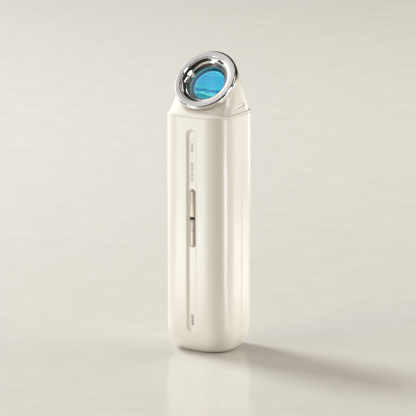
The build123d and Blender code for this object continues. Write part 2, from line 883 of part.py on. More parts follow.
neck_underside = Plane(origin=(0, 0, neck_bottom), x_dir=(1, 0, 0), z_dir=(0, 0, -1))
heat_sink_screws = screw_set(neck_underside, [(x, -y) for x, y in sink_screws_at])
heat_sink_screws.part.label = "heat_sink_screws"
export_step(heat_sink_screws.part, "parts/heat_sink_screws.step")

# Main board, upright behind the controls
with BuildPart() as main_board:
    with BuildSketch(behind_front(board_back)):
        with Locations((0, (board_top + board_bottom) / 2)):
            RectangleRounded(board_width, board_top - board_bottom, board_corner)
        with Locations(board_screws_at):
            Circle(screw_radius + screw_clearance, mode=Mode.SUBTRACT)
    extrude(amount=board_thickness)
main_board.part.label = "main_board"
export_step(main_board.part, "parts/main_board.step")
board_rear = Plane(origin=(0, board_back - body_depth / 2, 0), x_dir=(-1, 0, 0), z_dir=(0, 1, 0))
board_screws = screw_set(board_rear, [(-x, z) for x, z in board_screws_at])
board_screws.part.label = "board_screws"
export_step(board_screws.part, "parts/board_screws.step")

# Chips on the board's back: a large one with two small ones above and two below it
with BuildPart() as board_chips:
    with BuildSketch(board_rear):
        with Locations((0, (board_top + board_bottom) / 2)):
            Rectangle(chip_width, chip_width)
            with GridLocations(small_chip_spacing, small_chip_row_spacing, 2, 2):
                Rectangle(small_chip_width, small_chip_width)
    extrude(amount=chip_height)
board_chips.part.label = "board_chips"
export_step(board_chips.part, "parts/board_chips.step")

# Plugs on the board's back: the light's flat cable at the top, the battery at the foot
plug_rows = (board_top - plug_inset - plug_length / 2, board_bottom + plug_inset + plug_length / 2)
with BuildPart() as board_connectors:
    with BuildSketch(board_rear):
        with Locations([(0, row) for row in plug_rows]):
            Rectangle(plug_width, plug_length)
    extrude(amount=plug_height)
board_connectors.part.label = "board_connectors"
export_step(board_connectors.part, "parts/board_connectors.step")

# Flat cable from the light board's tab down through the neck's window to its plug
flex_start = tab_middle - ring_up * (tab_reach + fit_gap)
flex_turn = tab_middle - ring_up * (tab_reach + flex_lead_length)
with BuildPart() as led_flex:
    with BuildSketch(Plane.YZ) as flex_sketch:
        with BuildLine() as flex_line:
            FilletPolyline(
                (flex_start.Y, flex_start.Z),
                (flex_turn.Y, flex_turn.Z),
                (flex_y, board_top - plug_inset + fit_gap),
                radius=flex_bend_radius,
            )
        trace(line_width=flex_thickness)
    extrude(amount=flex_width / 2, both=True)
led_flex.part.label = "led_flex"
export_step(led_flex.part, "parts/led_flex.step")

# Two keys of the button bar, each with a flange behind the wall and a stem to its switch,
# the switch under it, and the plunger that the stem pushes in
for name, side in (("mode", 1), ("power", -1)):
    key_middle = button_bar_height + side * key_offset
    press_height = key_middle + press_rise
    with BuildPart() as button:
        with BuildSketch(behind_front(flange_front)):
            with Locations((0, button_bar_height)):
                SlotOverall(button_bar_length, button_width, rotation=90)
            with Locations((0, key_middle)):
                Rectangle(button_width, key_length, mode=Mode.INTERSECT)
        extrude(amount=flange_front - key_front)
        fillet(button.faces().sort_by(Axis.Y)[0].edges(), button_crown)
        with BuildSketch(behind_front(flange_front)):
            with Locations((0, key_middle)):
                Rectangle(button_width + 2 * flange_margin, key_length)
        extrude(amount=-flange_thickness)
        with BuildSketch(behind_front(flange_back)):
            with Locations((0, press_height)):
                Circle(stem_radius)
        extrude(amount=flange_back - plunger_front)
    button.part.label = f"{name}_button"
    export_step(button.part, f"parts/{name}_button.step")
    with BuildPart() as plunger:
        with BuildSketch(behind_front(plunger_front)):
            with Locations((0, press_height)):
                Circle(plunger_radius)
        extrude(amount=-plunger_length)
    plunger.part.label = f"{name}_plunger"
    export_step(plunger.part, f"parts/{name}_plunger.step")
    with BuildPart() as switch:
        with BuildSketch(behind_front(board_depth)):
            with Locations((0, press_height)):
                Rectangle(switch_width, switch_width)
        extrude(amount=switch_height)
        with BuildSketch(behind_front(switch_front)):
            with Locations((0, press_height)):
                Circle(plunger_radius + plunger_clearance)
        extrude(amount=plunger_stand - plunger_length - button_travel - fit_gap, mode=Mode.SUBTRACT)
    switch.part.label = f"{name}_switch"
    export_step(switch.part, f"parts/{name}_switch.step")

# Indicator light pipes: a round window in the groove, a flange behind the wall and a
# tail that ends just in front of its light on the board
for name, height in zip(("upper", "lower"), indicator_heights):
    with BuildPart() as indicator:
        with BuildSketch(behind_front(groove_depth - fit_gap)):
            with Locations((0, height)):
                Circle(indicator_radius)
        extrude(amount=groove_depth - fit_gap - backing_back)
        with BuildSketch(behind_front(backing_back)):
            with Locations((0, height)):
                Circle(indicator_flange_radius)
        extrude(amount=-indicator_flange_thickness)
        with BuildSketch(behind_front(backing_back + indicator_flange_thickness)):
            with Locations((0, height)):
                Circle(indicator_tail_radius)
        extrude(
            amount=backing_back + indicator_flange_thickness - (board_depth - led_height - led_air_gap)
        )
    indicator.part.label = f"indicator_{name}"
    export_step(indicator.part, f"parts/indicator_{name}.step")

with BuildPart() as indicator_leds:
    with BuildSketch(behind_front(board_depth)):
        with Locations([(0, height) for height in indicator_heights]):
            Rectangle(led_width, led_width)
    extrude(amount=led_height)
indicator_leds.part.label = "indicator_leds"
export_step(indicator_leds.part, "parts/indicator_leds.step")

# Battery cell, standing in the back half of the casing
with BuildPart() as battery_cell:
    with BuildSketch(Plane.XY.offset(cell_bottom)):
        with Locations((0, cell_y)):
            Circle(cell_radius)
    extrude(amount=cell_length - cell_cap_height)
    with BuildSketch(Plane.XY.offset(cell_bottom)):
        with Locations((0, cell_y)):
            Circle(cell_cap_radius)
    extrude(amount=cell_length)
battery_cell.part.label = "battery_cell"
export_step(battery_cell.part, "parts/battery_cell.step")

# Battery cradle: half tube with end walls and four ears screwed to the rear shell's posts
cradle_bore = cell_radius + cradle_gap
cradle_low = cell_bottom - contact_thickness - cradle_wall
cradle_length = cell_length + 2 * (contact_thickness + cradle_wall)
with BuildPart() as battery_cradle:
    with BuildSketch(Plane.XY.offset(cradle_low)):
        with Locations((0, cell_y)):
            Circle(cradle_bore + cradle_wall)
        with Locations((0, cell_y + cradle_bore)):
            Rectangle(4 * cradle_bore, 2 * cradle_bore, mode=Mode.INTERSECT)
    extrude(amount=cradle_length)
    with BuildSketch(Plane.XY.offset(cradle_low + cradle_wall)):
        with Locations((0, cell_y)):
            Circle(cradle_bore)
    extrude(amount=cradle_length - 2 * cradle_wall, mode=Mode.SUBTRACT)
    with BuildSketch(Plane.XZ.offset(-cell_y)):
        for side in (-1, 1):
            with Locations([(side * (cradle_ear_x - cradle_wall / 2), row) for row in cradle_rows]):
                Rectangle(cradle_ear + cradle_wall, cradle_ear_height)
        with Locations(cradle_screws_at):
            Circle(screw_radius + screw_clearance, mode=Mode.SUBTRACT)
    extrude(amount=-cradle_wall)
battery_cradle.part.label = "battery_cradle"
export_step(battery_cradle.part, "parts/battery_cradle.step")
cradle_screws = screw_set(Plane.XZ.offset(-cell_y), cradle_screws_at)
cradle_screws.part.label = "cradle_screws"
export_step(cradle_screws.part, "parts/cradle_screws.step")

# Battery contacts: a plate at each end of the cell
with BuildPart() as battery_contacts:
    for height in (cell_bottom - contact_thickness, cell_top):
        with BuildSketch(Plane.XY.offset(height)):
            with Locations((0, cell_y + contact_width / 4)):
                Rectangle(contact_width, contact_width)
        extrude(amount=contact_thickness)
battery_contacts.part.label = "battery_contacts"
export_step(battery_contacts.part, "parts/battery_contacts.step")

# Charging inlet: metal shell with its contact tongue, on a small board
port_mouth = Plane.XZ.offset(port_sunk - body_depth / 2)
with BuildPart() as charge_port:
    with BuildSketch(port_mouth):
        with Locations((0, port_height)):
            SlotOverall(port_width, port_thickness)
    extrude(amount=port_length)
    with BuildSketch(port_mouth):
        with Locations((0, port_height)):
            SlotOverall(port_width - 2 * port_wall, port_thickness - 2 * port_wall)
    extrude(amount=port_length - port_wall, mode=Mode.SUBTRACT)
charge_port.part.label = "charge_port"
export_step(charge_port.part, "parts/charge_port.step")

with BuildPart() as port_tongue:
    with BuildSketch(Plane.XZ.offset(port_sunk + port_length - port_wall - body_depth / 2)):
        with Locations((0, port_height)):
            Rectangle(tongue_width, tongue_thickness)
    extrude(amount=-tongue_length)
port_tongue.part.label = "port_tongue"
export_step(port_tongue.part, "parts/port_tongue.step")

with BuildPart() as charge_board:
    with BuildSketch(Plane.XY.offset(port_floor - charge_board_thickness)):
        with Locations((0, body_depth / 2 - wall - port_gap - charge_board_length / 2)):
            Rectangle(charge_board_width, charge_board_length)
    extrude(amount=charge_board_thickness)
charge_board.part.label = "charge_board"
export_step(charge_board.part, "parts/charge_board.step")
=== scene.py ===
from math import atan, cos, pi, radians, sin, sqrt, tan

import bmesh
import bpy
import numpy as np
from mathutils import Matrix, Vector
from numpy import array, clip, concatenate, full, linspace, stack


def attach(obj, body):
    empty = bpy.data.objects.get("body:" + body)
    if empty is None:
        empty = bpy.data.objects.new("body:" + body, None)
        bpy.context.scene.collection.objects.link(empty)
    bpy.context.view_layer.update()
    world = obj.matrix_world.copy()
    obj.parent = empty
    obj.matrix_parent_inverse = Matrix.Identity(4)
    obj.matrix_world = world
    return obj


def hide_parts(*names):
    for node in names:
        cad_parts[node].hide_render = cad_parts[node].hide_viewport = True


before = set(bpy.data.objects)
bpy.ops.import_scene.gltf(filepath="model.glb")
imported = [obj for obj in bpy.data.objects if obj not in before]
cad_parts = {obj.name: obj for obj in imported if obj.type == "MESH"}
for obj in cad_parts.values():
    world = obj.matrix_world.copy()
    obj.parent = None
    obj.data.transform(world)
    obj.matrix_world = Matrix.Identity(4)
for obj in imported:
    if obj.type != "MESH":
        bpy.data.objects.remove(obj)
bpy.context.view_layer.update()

scene = bpy.context.scene

# Camera. It stands to the right of the control groove and a little above the device, far
# enough away that upright lines stay almost parallel, and looks just above the middle.
camera_azimuth = radians(30.95)
camera_height = radians(12.99)
camera_distance = 2.392
camera_aim = Vector((-0.00198, 0.00223, 0.08471))
camera_back = Vector((
    sin(camera_azimuth) * cos(camera_height),
    -cos(camera_azimuth) * cos(camera_height),
    sin(camera_height),
))
camera_data = bpy.data.cameras.new("studio_camera")
camera_data.lens = 346.2
camera_data.sensor_width = 36.0
camera_data.clip_start = 0.1
camera_data.clip_end = 40.0
camera = bpy.data.objects.new("studio_camera", camera_data)
camera.location = camera_aim + camera_back * camera_distance
camera.rotation_mode = "QUATERNION"
camera.rotation_quaternion = camera_back.to_track_quat("Z", "Y")
scene.collection.objects.link(camera)
scene.camera = camera
scene.view_settings.view_transform = "Standard"

# Studio. A dim warm room with large soft boxes: they draw the long soft highlights on the
# casing. Polished surfaces see a darker room between the boxes than matt ones do.
light_on_gloss, light_on_matt = 0.03, 0.38


def feed(tree, node, inputs):
    """Gives each of a node's inputs its value: a link where that is an output, else a number."""
    for label, value in inputs.items():
        if isinstance(value, bpy.types.NodeSocket):
            tree.links.new(value, node.inputs[label])
        else:
            node.inputs[label].default_value = value


def add_node(tree, kind, inputs=None, **settings):
    """One new shader node of a tree, with its own settings first and then its inputs."""
    node = tree.nodes.new("ShaderNode" + kind)
    for key, value in settings.items():
        setattr(node, key, value)
    feed(tree, node, inputs or {})
    return node


def between(tree, value, low, high, low_result, high_result):
    """A value mapped evenly from the range low to high onto another one, held at both ends."""
    return add_node(tree, "MapRange", {
        "Value": value, "From Min": low, "From Max": high,
        "To Min": low_result, "To Max": high_result,
    }).outputs["Result"]


room = bpy.data.worlds.new("dim_room")
room.use_nodes = True
tree = room.node_tree
matt_ray = add_node(tree, "LightPath").outputs["Is Diffuse Ray"]
feed(tree, tree.nodes["Background"], {
    "Color": (1.0, 0.93, 0.80, 1.0),
    "Strength": between(tree, matt_ray, 0, 1, light_on_gloss, light_on_matt),
})
scene.world = room
not_for_cards = bpy.data.collections.new("not_for_cards")


def soft_box(seen, name, azimuth, height, distance, width, tall, power, colour, spread=180):
    """A rectangular lamp on a sphere round the device, turned to face the sphere's middle.

    Its direction is the sine and minus the cosine of the azimuth, both times the cosine of
    the height, and the height's sine. seen is matt for a lamp that only lights matt surfaces,
    or gloss for a card that only shows in polished ones. Cards and the lamps set near the
    device leave the floor alone.
    """
    a, h = radians(azimuth), radians(height)
    away = Vector((sin(a) * cos(h), -cos(a) * cos(h), sin(h)))
    lamp = bpy.data.lights.new(name, "AREA")
    lamp.shape = "RECTANGLE"
    lamp.size = width
    lamp.size_y = tall
    lamp.spread = radians(spread)
    lamp.energy = power
    lamp.color = colour
    box = bpy.data.objects.new(name, lamp)
    box.location = Vector((0, 0, 0.08)) + away * distance
    box.rotation_mode = "QUATERNION"
    box.rotation_quaternion = away.to_track_quat("Z", "Y")
    box.visible_camera = False
    box.visible_diffuse = seen == "matt"
    box.visible_glossy = box.visible_transmission = seen == "gloss"
    if seen == "gloss" or distance < 1:
        box.light_linking.receiver_collection = not_for_cards
    scene.collection.objects.link(box)


for lamp in (
    ("key_left", -99, 50, 1.8, 0.45, 0.45, 22.5, (0.92, 0.95, 1.0)),
    ("back_left", -112, 12, 2.0, 1.4, 0.9, 10.5, (1.0, 0.98, 0.97)),
    ("back_right", 165, 8, 1.6, 0.6, 0.6, 4.6, (1.0, 0.95, 0.84)),
    ("front_low", -31, 20, 1.6, 0.6, 0.6, 5.5, (1.0, 0.91, 0.72)),
    ("front_left", -57, 12, 1.6, 0.6, 0.6, 5.6, (0.80, 0.88, 1.0)),
    ("right_front", 120, 10, 1.6, 0.6, 0.6, 7.5, (1.0, 0.95, 0.84)),
    ("right_back", 140, 12, 1.6, 0.6, 0.6, 6.1, (0.94, 0.95, 1.0)),
    ("overhead", -57, 53, 1.7, 0.95, 0.95, 2.3, (1.0, 0.97, 0.97)),
    ("foot_front", -6, -49, 0.092, 0.060, 0.015, 0.0022, (1.0, 0.98, 0.93)),
    ("foot_side", 92, -49, 0.092, 0.050, 0.015, 0.0036, (1.0, 0.98, 0.93)),
):
    soft_box("matt", *lamp)
for card in (
    ("face_card", -68, 44, 1.5, 0.85, 0.85, 2.0, (1.0, 0.98, 0.98)),
    ("left_card", -97, 26, 1.1, 1.45, 1.3, 5.2, (1.0, 0.99, 0.97)),
    ("front_card", -36, 26, 0.34, 0.09, 0.26, 0.09, (1.0, 0.99, 0.98)),
    ("top_card", -37, 78, 0.45, 0.09, 0.09, 0.03, (1.0, 0.98, 0.97)),
    ("front_strip", -32, -6, 0.30, 0.07, 0.13, 0.052, (0.82, 0.88, 1.0), 120),
    ("front_foot", -32, -24, 0.15, 0.07, 0.06, 0.020, (0.95, 0.96, 1.0), 150),
    ("side_strip", 143, -6, 0.30, 0.05, 0.13, 0.010, (0.88, 0.88, 1.0), 120),
    ("side_foot", 143, -24, 0.15, 0.05, 0.06, 0.009, (0.94, 0.95, 1.0), 150),
    ("rim_card", 172, -4, 0.5, 0.14, 0.12, 0.085, (0.80, 0.90, 1.0), 150),
    ("corner_strip", 82, 10, 0.32, 0.055, 0.25, 0.140, (0.86, 0.92, 1.0), 120),
    ("corner_foot", 82, -12, 0.13, 0.022, 0.09, 0.016, (0.93, 0.97, 1.0), 120),
    ("corner_low", 82, -50, 0.081, 0.005, 0.030, 0.0012, (0.93, 0.97, 1.0)),
    ("corner_top", 82, 54, 0.42, 0.050, 0.20, 0.14, (0.95, 0.98, 1.0)),
    ("hood_card", 57, 36, 0.40, 0.06, 0.16, 0.45, (0.95, 0.98, 1.0)),
):
    soft_box("gloss", *card)

# Floor. A wide sheet of pale warm paper with a very fine mottle and a slight sheen. Its colour is
# painted paler far out, painted light that evens out the lamps' fall-off. It carries the soft
# shadow and a weak mirror image of the device.
floor_half = 6.0
floor_mesh = bpy.data.meshes.new("paper_floor")
floor_mesh.from_pydata(
    [(-floor_half, -floor_half, 0), (floor_half, -floor_half, 0),
     (floor_half, floor_half, 0), (-floor_half, floor_half, 0)],
    [], [(0, 1, 2, 3)],
)
floor = bpy.data.objects.new("paper_floor", floor_mesh)
scene.collection.objects.link(floor)
not_for_cards.objects.link(floor)
not_for_cards.collection_objects[0].light_linking.link_state = "EXCLUDE"


def new_material(name):
    """An empty Principled material, with its node tree and its shader."""
    material = bpy.data.materials.new(name)
    material.use_nodes = True
    tree = material.node_tree
    return material, tree, tree.nodes["Principled BSDF"]


def own_place(tree):
    """The place of a surface point in its piece's own metres."""
    return add_node(tree, "TexCoord").outputs["Object"]


def noise(tree, place, scale, detail=2.0):
    """A cloudy value from 0 to 1 at a place, with about scale clouds to a metre."""
    return add_node(tree, "TexNoise", {
        "Vector": place, "Scale": scale, "Detail": detail,
    }).outputs["Fac"]


def mixed(tree, share, first, second):
    """A colour between two: the first times 1 less the share, plus the second times the share."""
    return add_node(tree, "Mix", {"Factor": share, 6: first, 7: second},
                    data_type="RGBA").outputs[2]


def ramp(tree, value, *stops):
    """The colour that a value picks between stops, each a place and its red, green and blue."""
    node = add_node(tree, "ValToRGB", {"Fac": value})
    elements = node.color_ramp.elements
    for count, (at, *colour) in enumerate(stops):
        stop = elements[count] if count < 2 else elements.new(at)
        stop.position = at
        stop.color = (*colour, 1)
    return node.outputs["Color"]


paper, tree, shader = new_material("pale_paper")
place = own_place(tree)
mottle = ramp(tree, noise(tree, place, 55.0, 6.0),
              (0.3, 0.640, 0.617, 0.572), (0.7, 0.672, 0.649, 0.604))
fleck = between(tree, noise(tree, place, 420.0), 0.66, 0.74, 0.0, 0.35)
fibre = mixed(tree, fleck, mottle, (0.42, 0.39, 0.34, 1))
far = add_node(tree, "VectorMath", {0: place}, operation="LENGTH").outputs["Value"]
# Painted light: the paper's colour grows paler with distance from the device.
painted_far_light = between(tree, far, 0.1, 1.5, 1.0, 1.18)
lift = add_node(tree, "VectorMath", {0: fibre, "Scale": painted_far_light}, operation="SCALE")
feed(tree, shader, {"Base Color": lift.outputs[0], "Roughness": 0.14, "Specular IOR Level": 0.045})
floor_mesh.materials.append(paper)

# Casing. Two glossy ivory halves, moulded with a wall of 2 mm and joined on a seam down
# each side. Their long straight walls end in a rounded bottom that stands on a foot pad.
MM = 0.001
width, depth, corner = 44.0, 40.0, 12.0
top, rounding_height, lowest, wall = 144.0, 15.6, 0.4, 2.0
foot_width, foot_depth, foot_corner = 33.6, 28.2, 12.6
foot_roundness = 0.4
bottom_slope = radians(66)
seam_y, seam_half, seam_deep = 1.5, 0.2, 0.5
floor_under, floor_over = 1.4, 3.4
pad_recess = 1.3


def rounded_profile(points, radii, steps=6):
    """Corners of a line, each rounded by an arc that touches both its legs.

    points are the corners in order, and radii gives each one its arc, 0 for a sharp one. An
    arc's middle lies on the line that halves the corner, its radius over the sine of half
    the corner's angle away.
    """
    points = np.asarray(points, float)
    made = [points[:1]]
    for before, corner_at, after, radius in zip(points, points[1:], points[2:], radii[1:]):
        if radius == 0:
            made.append(corner_at[None])
            continue
        legs = before - corner_at, after - corner_at
        first, last = (leg / np.linalg.norm(leg) for leg in legs)
        half = np.arccos(clip(first @ last, -1, 1)) / 2
        middle = corner_at + (first + last) / np.linalg.norm(first + last) * radius / sin(half)
        start = corner_at + first * radius / tan(half) - middle
        end = corner_at + last * radius / tan(half) - middle
        turn = pi - 2 * half
        share = linspace(0, 1, steps + 1)[:, None]
        arc = start * np.sin((1 - share) * turn) + end * np.sin(share * turn)
        made.append(middle + arc / sin(turn))
    made.append(points[-1:])
    return concatenate(made)


def grid_faces(rows, columns):
    """Four-cornered faces between neighbouring points of a grid that is stored row by row."""
    at = np.arange(rows * columns).reshape(rows, columns)
    return stack([at[:-1, :-1], at[1:, :-1], at[1:, 1:], at[:-1, 1:]], -1).reshape(-1, 4)


def make_piece(name, skins, sharp=32, body="casing"):
    """One closed mesh from point grids given in millimetres.

    Each skin is a grid of points, or a pair of points and faces. Points that meet are merged,
    faces are turned outwards, and edges bent by more than sharp degrees stay crisp.
    """
    points, faces, count = [], [], 0
    for skin in skins:
        grid, quads = skin if isinstance(skin, tuple) else (skin, grid_faces(*skin.shape[:2]))
        points.append(grid.reshape(-1, 3))
        faces.append(quads + count)
        count += len(points[-1])
    mesh = bpy.data.meshes.new(name)
    mesh.from_pydata((concatenate(points) * MM).tolist(), [], concatenate(faces).tolist())
    shape = bmesh.new()
    shape.from_mesh(mesh)
    bmesh.ops.remove_doubles(shape, verts=shape.verts, dist=2e-6)
    bmesh.ops.dissolve_degenerate(shape, dist=1e-7, edges=shape.edges)
    bmesh.ops.recalc_face_normals(shape, faces=shape.faces)
    shape.to_mesh(mesh)
    shape.free()
    mesh.shade_smooth()
    mesh.set_sharp_from_angle(angle=radians(sharp))
    piece = bpy.data.objects.new(name, mesh)
    scene.collection.objects.link(piece)
    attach(piece, body)
    return piece


def corner_turns(steps=26, ease=0.8, crowding=0.8):
    """Two quarter corners at the same slopes: a round one, and one whose bend eases in and out.

    The bend of the eased one grows evenly from none to its most over a length of ease, stays
    there and dies away again. It is scaled so that both corners have the same middle. The
    slopes run evenly from 0 to 90 degrees less a sine wave, which crowds them at both ends.
    """
    length = pi / 2 + ease
    along = linspace(0, length, 2001)
    bend = clip(np.minimum(along, length - along) / ease, 0, 1)
    slope = concatenate([[0], np.cumsum((bend[1:] + bend[:-1]) / 2 * np.diff(along))])
    halfway = (slope[1:] + slope[:-1]) / 2
    step = np.diff(along)[:, None] * stack([np.cos(halfway), -np.sin(halfway)], -1)
    path = concatenate([[(0.0, 0.0)], np.cumsum(step, 0)])
    path = (path - (path[-1, 0], 0)) * (1 - sqrt(0.5)) / (path[-1, 0] - path[1000, 0]) + (1, 1)
    even = linspace(0, 1, steps)
    wanted = (even - np.sin(even * 2 * pi) / (2 * pi) * crowding) * pi / 2
    eased = stack([np.interp(wanted, slope, path[:, axis]) for axis in (0, 1)], -1)[::-1]
    return stack([np.cos(wanted), np.sin(wanted)], -1), eased


def columns_of(*lines):
    """A table with the given lines, where a single number fills its whole line."""
    return stack(np.broadcast_arrays(*lines))


def half_columns(side, flat_across):
    """Places round half a casing, from the right-hand seam to the left-hand one.

    side is -1 for the front half and 1 for the rear. A place is its core corner, its turn on
    a round and on an eased corner, its share of the seam, its distance from the seam and the
    inset of the seam's edge. The left-hand side mirrors the right-hand one.
    """
    edge = linspace(0, pi / 2, 5)
    flat = linspace(0, 1, 6)[1:-1]
    circle, eased = corner_turns()
    start = eased[0, 1]
    away, inset = seam_half * (1 - np.cos(edge)), seam_deep * (1 - np.sin(edge))
    right = concatenate([
        columns_of(1, 0, 1, 0, 1, 0, 1, away, inset),
        columns_of(1, flat, 1, 0, 1, flat * start, 1 - flat, 0, 0),
        columns_of(1, 1, *circle.T, *eased.T, 0, 0, 0),
    ], 1)
    middle = columns_of(flat_across, 1, 0, 1, flat_across * start, 1, 0, 0, 0)
    left = right[:, ::-1] * array([-1, 1, -1, 1, -1, 1, 1, 1, 1])[:, None]
    columns = concatenate([right, middle, left], 1)
    columns[[1, 3, 5, 7]] *= side
    return columns


def body_rows(heights, inset):
    """Half width, half depth, corner and share of the eased corner at each height.

    Above the rounding they stay the same. Below it they draw in along an arc of an ellipse
    to the foot's size, and inset is taken off all round.
    """
    drop = clip((rounding_height - heights) / (rounding_height - lowest), 0, 1)
    share = (1 - np.sqrt(1 - (drop * sin(bottom_slope)) ** 2)) / (1 - cos(bottom_slope))
    half_width = (width - (width - foot_width) * share) / 2 - inset
    half_depth = (depth - (depth - foot_depth) * share) / 2 - inset
    radius = corner - (corner - foot_corner) * share - inset
    return half_width, half_depth, radius, 1 - foot_roundness * share


def half_skin(columns, heights, inset, shrink):
    """A grid over half the casing: each row is a half section, shrunk towards the seam's foot.

    A point is its core corner, at half the width and depth less the corner's radius, plus
    its turn times that radius.
    """
    core_x, core_y, turn_x, turn_y, ease_x, ease_y, seam, away, edge = columns
    half_width, half_depth, radius, eased = (line[:, None] for line in body_rows(heights, inset))
    x = core_x * (half_width - radius) + (turn_x + (ease_x - turn_x) * eased) * (radius - edge)
    y = core_y * (half_depth - radius) + (turn_y + (ease_y - turn_y) * eased) * (radius - edge)
    y = y + seam * seam_y + away
    x, y = x * shrink[:, None], seam_y + (y - seam_y) * shrink[:, None]
    return stack([x, y, np.broadcast_to(heights[:, None], x.shape)], -1)


def rectangle_loop(first_row, last_row, first_column, last_column):
    """Row and column numbers once round a rectangle of a grid."""
    rows, columns = np.arange(first_row, last_row), np.arange(first_column, last_column)
    return (
        concatenate([full(len(columns), first_row), rows, full(len(columns), last_row),
                     rows[::-1] + 1, [first_row]]),
        concatenate([columns, full(len(rows), last_column), columns[::-1] + 1,
                     full(len(rows), first_column), [first_column]]),
    )


def slot_loops(outer, inner, low, high, loops):
    """Loops that lead from a rectangle in the outer wall through a slot to the inner wall.

    outer and inner are the rectangles' points as (across, along). A loop is an oval with two
    straight sides: radius, depth, and the places of its two round ends' centres. Each point
    keeps its direction from the oval's middle line, so the loops never cross.
    """
    made = []
    for number, (radius, sunk, loop_low, loop_high) in enumerate(loops):
        edge = outer if number < len(loops) - 2 else inner
        across, along = edge[:, 0], edge[:, 1]
        beyond = along - clip(along, low, high)
        reach = np.where(beyond == 0, np.abs(across), np.hypot(across, beyond))
        share = (clip(along, low, high) - low) / (high - low)
        made.append(stack([
            across / reach * radius,
            loop_low + share * (loop_high - loop_low) + beyond / reach * radius,
            full(len(across), sunk),
        ], -1))
    return array(made)


def half_casing(name, side, flat_across, heights, window, place_loops):
    """One closed half: outer and inner skins, seam faces, top edge, and a window's loops.

    Below the rounding the outer rows follow the sine of an even swing, and the inner rows
    keep the outer ones' share of the height between the rounding and the floor.
    """
    columns = half_columns(side, flat_across)
    top_round = 0.3
    turn = linspace(0, pi / 2, 5)
    top_heights = top - top_round * (1 - np.cos(turn))
    top_insets = top_round * (1 - np.sin(turn))
    swing = linspace(0, bottom_slope, 27)[1:-1]
    low_heights = rounding_height - (rounding_height - lowest) * np.sin(swing) / sin(bottom_slope)
    low_heights = low_heights[low_heights > lowest + 0.25]
    foot = array([[0.62, 0.0, 1], [0.5, 0.1, 1], [0.42, 0.24, 1], [lowest, 0.45, 1],
                  [lowest, pad_recess, 1], [floor_under, pad_recess, 1],
                  [floor_under, pad_recess, 0.5], [floor_under, pad_recess, 0]])
    straight = heights[heights >= rounding_height]
    row_heights = concatenate([top_heights, straight, low_heights, foot[:, 0]])
    row_insets = concatenate([top_insets, 0 * straight, 0 * low_heights, foot[:, 1]])
    row_shrink = concatenate([np.ones(len(row_heights) - 2), foot[-2:, 2]])
    outer = half_skin(columns, row_heights, row_insets, row_shrink)
    inner_heights = np.interp(
        row_heights, [lowest, rounding_height, top], [floor_over, rounding_height, top]
    )
    inner_heights[-4:] = floor_over
    inner = half_skin(columns, inner_heights, full(len(row_heights), wall), row_shrink)
    rows, across = outer.shape[:2]
    first_row, last_row = (int(np.argmin(np.abs(row_heights - at))) for at in window[1::-1])
    edge_columns = np.flatnonzero((np.abs(columns[0]) < window[2] + 1e-6) & (columns[8] == 0))
    loop = rectangle_loop(first_row, last_row, edge_columns[0], edge_columns[-1])
    middle = place_loops(outer[loop], inner[loop])
    keep = np.ones((rows - 1, across - 1), bool)
    keep[first_row:last_row, edge_columns[0]:edge_columns[-1]] = False
    faces = grid_faces(rows, across)[keep.ravel()]
    return make_piece(name, [
        (outer, faces), (inner, faces), middle, stack([outer[0], inner[0]]),
        stack([outer[:, 0], inner[:, 0]]), stack([outer[:, -1], inner[:, -1]]),
    ])


# Front half, with the long groove down its face: sloping sides, a flat floor, and the slot
# in the floor through which the two buttons show.
groove_half, groove_floor_half, groove_depth = 3.75, 2.1, 1.0
groove_low, groove_high = 16.75, 133.25
button_half, button_gap = 1.8, 0.1
button_low, button_high = 67.0, 98.6
backing_depth = 3.0


def groove_loops(outer, inner):
    """The groove's loops on the front face, from the casing's skin down to the button slot."""
    profile = rounded_profile(
        [(5.2, 0), (groove_half, 0), (groove_floor_half, groove_depth), (2.02, groove_depth)],
        [0, 0.55, 0.25, 0], 7,
    )
    slot = button_half + button_gap
    loops = [(radius, sunk, groove_low, groove_high) for radius, sunk in profile]
    loops += [(slot, groove_depth + 0.02, button_low, button_high),
              (slot, backing_depth, button_low, button_high),
              (5.2, backing_depth, groove_low, groove_high), (5.3, wall, groove_low, groove_high)]
    made = slot_loops(outer[:, [0, 2]], inner[:, [0, 2]], groove_low, groove_high, loops)
    recess = depth / 2 - body_rows(made[..., 1], 0)[1]
    y = made[..., 2] - depth / 2 + recess * clip(1 - made[..., 2] / groove_depth, 0, 1)
    middle = stack([made[..., 0], y, made[..., 1]], -1)
    return concatenate([outer[None], middle, inner[None]])


front_heights = concatenate([
    linspace(143.4, 139.5, 5), linspace(138.8, groove_high, 8),
    linspace(132.0, 18.0, 58), [groove_low, rounding_height],
])
flat_edge = 0.94
flat_across = linspace(flat_edge, -flat_edge, 25)
front_casing = half_casing(
    "front_casing", -1, flat_across, front_heights, (9.4, 139.5, flat_edge), groove_loops
)
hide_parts("front_shell")

# Rear half, moulded like the front one and plain but for a small oblong opening low on the
# back, through which the charging plug is pushed in.
port_height, port_half, port_radius = 24.0, 2.84, 1.83


def port_loops(outer, inner):
    """The charging opening's loops, with a small chamfer round its mouth."""
    profile = rounded_profile([(2.6, 0), (2.15, 0), (port_radius, 0.4), (port_radius, wall)],
                              [0, 0.2, 0.15, 0], 4)
    loops = [(radius, sunk, -port_half, port_half) for radius, sunk in profile[:-1]]
    loops += [(port_radius, wall - 0.01, -port_half, port_half),
              (port_radius, wall, -port_half, port_half), (2.2, wall, -port_half, port_half)]
    turned = [stack([edge[:, 2] - port_height, edge[:, 0]], -1) for edge in (outer, inner)]
    made = slot_loops(turned[0], turned[1], -port_half, port_half, loops)
    middle = stack([made[..., 1], depth / 2 - made[..., 2], port_height + made[..., 0]], -1)
    return concatenate([outer[None], middle, inner[None]])


rear_heights = concatenate([
    linspace(143.4, 33.0, 30), linspace(30.0, 18.0, 25), [16.6, rounding_height],
])
rear_casing = half_casing(
    "rear_casing", 1, flat_across, rear_heights, (18.0, 30.0, flat_edge), port_loops
)
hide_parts("rear_shell")


